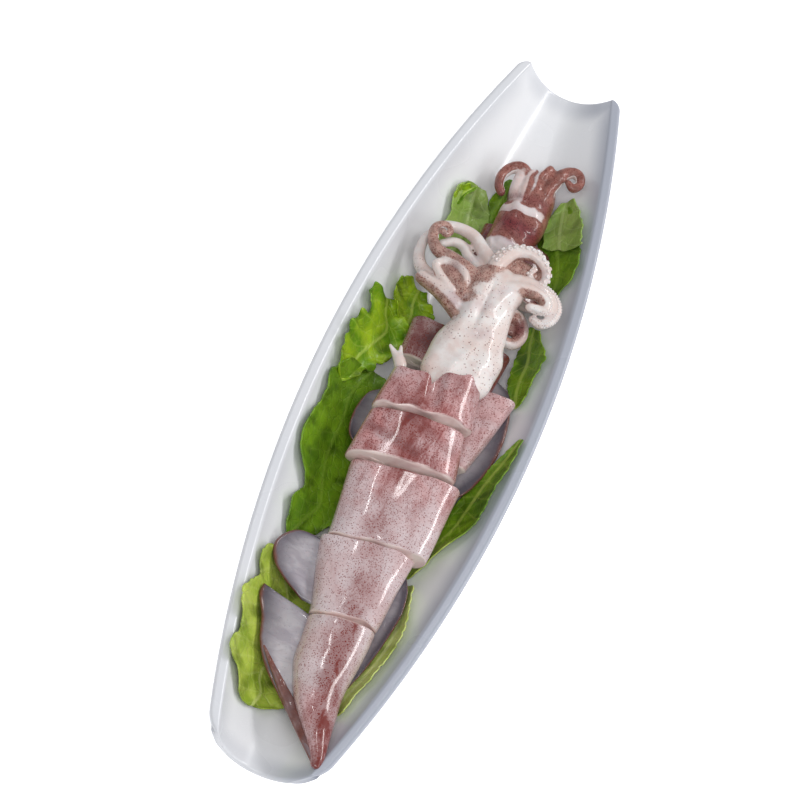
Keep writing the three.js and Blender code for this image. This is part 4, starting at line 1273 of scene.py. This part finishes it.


# Marks of the first head: brown towards the left arms, maroon painted shade in the two hollows under the
# curled arms, lilac low on the left.
def markFrontBody(p):
    x, y, z = p.T
    wander = 2.0 * ripple(p, 14, 66)
    brown = smoothStep(2.2 - x + 0.5 * (y - 60) + wander, -2, 6) * smoothStep(y, 44, 52)
    lowEdge = 0.6 * bell(x + 8, 0, 5) * bell(y, 45, 9) + 0.3 * smoothStep(ripple(p, 16, 67), 0.2, 1)
    # deep: painted shade in the left hollow and low under the right arms' arch
    deep = bell(x, -14, 3.2) * bell(y, 66, 4.5) * 0.55 + bell(x, 27, 4) * bell(y, 55, 6) * (z < 36)
    return brown, deep, lowEdge


def shapeRearBody(p):  # low lumps on the upper side
    lumps = 0.6 * ripple(p * [1, 0.6, 1], 9, 63) + 0.3 * ripple(p, 4.5, 64)
    p[:, 2] += lumps * smoothStep(p[:, 2], 20, 27)
    return p


# Marks of the second head: brown apart from a white band and the pale lower end, maroon in between.
def markRearBody(p):
    x, y, _ = p.T
    wander = 1.6 * ripple(p, 12, 65)
    fromBand = np.abs(y + wander - 124 - 0.12 * (x - 6))
    whiteBand = smoothStep(3.4 - fromBand, 0, 1.2) * (1 - smoothStep(x, 14, 17))
    lower = 1 - smoothStep(y + wander, 101, 106)
    deep = bell(y + wander, 113.5 - 0.1 * x, 6.2) * smoothStep(x, -6, -1)
    deep = deep + 0.55 * bell(y + wander, 130.5, 3)
    brown = np.clip(1 - whiteBand - lower, 0, 1)
    tint = bell(y, 105, 4) * bell(x, 8, 9) + bell(x, -6, 4) * bell(y, 112, 8)
    return brown, deep, tint


lettuce = {"lift": 1.9, "least": 0.8, "thickness": 0.6, "rows": 150, "columns": 60}

# Each leaf lies between two edge lines in plan, both run from its upper end to its lower end.
leaves = {
    "leaf_top_left": {
        "left": [[-25, 131], [-28.5, 124], [-29, 117], [-27, 109], [-28, 100], [-26, 90]],
        "right": [[-17, 135], [-11, 128], [-8, 119], [-7, 110], [-8, 99], [-10, 90]],
        "lift": [2.5, 1], "tone": "soft",
    },
    "leaf_top_strip": {
        "left": [[-7, 148], [-11, 139], [-12, 127], [-12, 117]],
        "right": [[-4, 148], [-2, 139], [-3, 127], [-4, 117]], "ruffle": 0.3, "tone": "deep",
    },
    "leaf_top_right": {
        "left": [[20, 139], [18, 131], [17.5, 121], [20, 114], [25, 105], [29, 96], [32, 86]],
        "right": [[24, 141], [28, 134], [33, 125], [37, 115], [39, 104], [39, 95], [35, 86]],
        "lift": [1, 2.5], "tone": "deep",
    },
    "leaf_frill": {
        "left": [[-41, 50], [-45.5, 42], [-42, 35], [-46, 25], [-46.5, 9], [-43, -3]],
        "right": [[-33, 51], [-25, 46], [-20, 39], [-22, 28], [-29, 15], [-37, -1]],
        "lift": [4, 2.5], "ruffle": 1.9, "waves": 6, "ragged": 2.0, "tone": "bright",
    },
    "leaf_fold": {
        "left": [[-29, 67], [-35, 60], [-34.5, 52], [-29, 46]],
        "right": [[-21, 67], [-15, 60], [-12, 53], [-17, 47]],
        "lift": [5, 1.5], "ruffle": 1.6, "waves": 4, "ragged": 2.2, "tone": "bright",
    },
    "leaf_long_left": {
        "left": [
            [-38, 13], [-46, -5], [-44, -16], [-46, -37], [-43, -49], [-35, -59], [-37, -70],
            [-34, -85],
        ],
        "right": [
            [-20, 16], [-21, 0], [-20, -14], [-17, -35], [-14, -52], [-15, -66], [-21, -76],
            [-29, -85],
        ],
        "lift": [2.5, 0.5], "ruffle": 1.2, "waves": 5, "tone": "deep",
    },
    "leaf_low_left": {
        "left": [
            [-37, -97], [-38.5, -108], [-35.5, -117], [-39.5, -131], [-33, -145], [-34, -158], [-26, -165],
            [-20, -174],
        ],
        "right": [
            [-20, -95], [-8, -104], [0, -113], [2, -127], [2, -142], [1, -154], [1, -162],
            [-8, -170],
        ],
        "lift": [2.5, 0.5], "ruffle": 1.2, "waves": 5, "tone": "pale",
    },
    "leaf_mid_right": {
        "left": [[31, 72], [30.5, 61], [31, 51], [31.5, 41], [34, 31], [38.5, 23]],
        "right": [
            [35.5, 68], [38.5, 60], [43, 49], [42, 38], [41.5, 24],
        ],
        "lift": [0.5, 3], "tone": "green",
    },
    "leaf_long_right": {
        "left": [[47.5, 3], [42, -9], [37, -20], [33, -34], [29, -50], [26, -64], [24.5, -78]],
        "right": [[49, 2], [48, -12], [46, -26], [45, -38], [43, -51], [35, -62], [28, -79]],
        "lift": [0.5, 4], "tone": "green", "rolled": 1.5,
    },
    "leaf_low_right": {
        "left": [
            [25.5, -81], [27.5, -92], [28.5, -103], [28.5, -114], [26.5, -127], [23, -141], [19.5, -151],
            [19, -161],
        ],
        "right": [
            [30, -82], [31.5, -92], [33.3, -104], [34, -115], [32, -128], [28.5, -142], [25.5, -152],
            [23.5, -163],
        ],
        "lift": [0.5, 4], "ruffle": 0.5, "tone": "faint",
    },
}

# Loose flaps that belong to a leaf and lie a little above it.
flaps = {
    "leaf_top_right": {
        "left": [[21, 142], [18.5, 134], [18, 125], [21, 115]],
        "right": [[24, 143], [28.5, 136], [33, 127], [37, 114]],
        "lift": [3, 4], "ruffle": 0.8, "tone": "soft", "raise": 1.6,
    },
    "leaf_top_left": {
        "left": [[-24, 129], [-28, 123], [-29, 116]],
        "right": [[-20, 130], [-23, 124], [-25, 117]],
        "lift": [3, 3], "ruffle": 0.5, "tone": "bright", "raise": 1.2,
    },
}


# A sheet laid on the dish between two edge lines, with raised sides, ruffles and quilted blisters.
def makeLeaf(name, node, spec, material):
    rows, columns = lettuce["rows"], lettuce["columns"]
    left, right = (through([[x, y, 0] for x, y in spec[side]], rows) for side in ("left", "right"))
    v = np.linspace(0, 1, rows)[:, None]
    tip = np.sqrt(np.clip(1 - np.clip((np.abs(v - 0.5) - 0.46) / 0.04, 0, 1) ** 2, 0, 1)) * 0.75 + 0.25
    side = np.linspace(-1, 1, columns)[None, :] * tip
    seed = sum(ord(letter) for letter in name)
    middle, half = (left + right) / 2, (right - left) / 2
    width = np.linalg.norm(half, axis=1)[:, None]
    plain = middle[:, None, :] + half[:, None, :] * side[..., None]
    tears = 0.5 * ripple(plain, 6, seed) + 0.25 * ripple(plain, 2.6, seed + 7)
    ragged = 1 + spec.get("ragged", 1) * np.abs(side) ** 6 * tears / width
    flat = middle[:, None, :] + half[:, None, :] * (side * ragged)[..., None]
    flat[..., 1] += 1.2 * ripple(flat * [1, 0, 0], 7, seed + 5) * smoothStep(np.abs(v - 0.5), 0.4, 0.5)
    x, y = flat[..., 0], flat[..., 1]
    low, high = spec.get("lift", [0, 0])
    rim = side ** 2
    rise = (low + (high - low) * (side + 1) / 2) * rim
    ruffle = spec.get("ruffle", 0.8)
    wander = 2 * math.pi * spec.get("waves", 3) * v + side + 0.6 * ripple(flat, 20, seed + 4)
    wavy = ruffle * rim * (1 + np.sin(wander))
    crimp = 0.5 * ruffle * np.abs(side) ** 3 * ripple(flat, 4.2, seed + 1)
    quilt = 0.5 * ripple(flat, 6.5, seed + 2) + 0.8 * ripple(flat, 15, seed + 3)
    rib = 0.5 * bell(side * width, 0, 1.2)
    under = dishTop(x, y)
    z = under + lettuce["lift"] + spec.get("raise", 0) + rise + wavy + crimp + quilt * 0.6 + rib
    z = np.maximum(z, under + lettuce["least"])
    points = np.stack([x, y, z], axis=-1).reshape(-1, 3)
    run = v * np.linalg.norm(np.diff(middle, axis=0), axis=1).sum()
    out = np.abs(side) * width
    branch = np.abs(np.mod(run / 9 - out / 11 + 0.12 * ripple(flat, 12, seed + 6), 1) - 0.5) * 9
    vein = np.maximum(1 - smoothStep(out, 0.35, 0.9), (1 - smoothStep(branch, 0.15, 0.5)) * 0.55)
    rolled = spec.get("rolled", 0) * smoothStep(v, 0.66, 0.78) * smoothStep(side, 0.0, 0.5)
    # painted shade: how far down in the quilting, ruffles and crimp each point lies
    hollowShade = smoothStep(-quilt - 0.3 * (wavy - ruffle * rim) - crimp, -0.1, 1.0)
    marks = {"vein": np.clip(vein + rolled, 0, 1.5).ravel(), "hollowShade": hollowShade.ravel()}
    piece = addPiece(name, placed(points, unmoved), gridFaces(rows, columns), [node], material, marks)
    body = piece.modifiers.new("leafBody", "SOLIDIFY")
    body.thickness = lettuce["thickness"] * mm
    body.offset = 0


stub = {
    "turn": 0.75,
    "prongs": [
        {"route": [[0, 0, 0], [0, 3.6, 0.3], [-1.2, 7.8, 0.4], [-2.4, 12, 0.8]],
         "radius": [3.5, 3.1, 1.7, 0.9]},
        {"route": [[0.4, 0, 0], [0.8, 3.6, 0.3], [2, 6.6, 0.4], [3.2, 9.36, 0.6]],
         "radius": [3.3, 2.9, 1.6, 1]},
    ],
}


# A limp wedge of flesh whose thin end splits into two blunt points.
def makeStub(material):
    shells = [carried(*armLine(prong), 24, squash=0.6) for prong in stub["prongs"]]
    points, quads = fused(shells, 0.35, 5)
    points = points @ np.array(Matrix.Rotation(stub["turn"], 3, "Z")).T
    marks = {key: np.zeros(len(points)) for key in headMarks}
    fitted = placed(points, placing(points, "flesh_stub"))
    addPiece("fleshScrap", fitted, list(quads), ["flesh_stub"], material, marks)


floorHalf = 6.0  # metres


def makeFloor():  # a wide pale square just under the foot
    low, _ = cadBox
    side = floorHalf
    points = np.array([[-side, -side, 0], [side, -side, 0], [side, side, 0], [-side, side, 0]])
    mesh = bpy.data.meshes.new("floor")
    mesh.from_pydata((points + [0, 0, low[2] - 0.0002]).tolist(), [], [(0, 1, 2, 3)])
    mesh.materials.append(makeFloorMaterial())
    floor = bpy.data.objects.new("floor", mesh)
    scene.collection.objects.link(floor)


makeCamera()
makeLights()
makeFloor()
print("stage ready")

melamine = makeDishMaterial()
makeDish(melamine)
makeFoot(melamine)
print("dish ready")

mantleSkin = makeSkinMaterial()
for name, spec in slices.items():
    makeSlice(name, spec, mantleSkin)
finFilm = makeFinMaterial()
makeTail(mantleSkin, unmoved)
print("mantles ready")

for name, spec in fins.items():
    makeFin(name, spec, finFilm, unmoved)
makeRearTail(finFilm, unmoved)
makeTailFold(finFilm)
print("fins ready")

headFlesh, armSkin, suckerFlesh = (makeHeadMaterial(name) for name in headTones)
flesh = (headFlesh, suckerFlesh)
makeHead("frontHead", frontHead, "front_head", flesh, shapeFrontBody, markFrontBody)
flesh = (armSkin, suckerFlesh)
makeHead("rearHead", rearHead, "rear_head", flesh, shapeRearBody, markRearBody)
makeStub(headFlesh)
print("heads ready")

lettuceMaterials = {tone: makeLettuceMaterial(*recipe) for tone, recipe in leafTones.items()}
for kind, table in (("Sheet", leaves), ("Flap", flaps)):
    for name, spec in table.items():
        makeLeaf(name.replace("_", "") + kind, name, spec, lettuceMaterials[spec["tone"]])
print("lettuce ready")
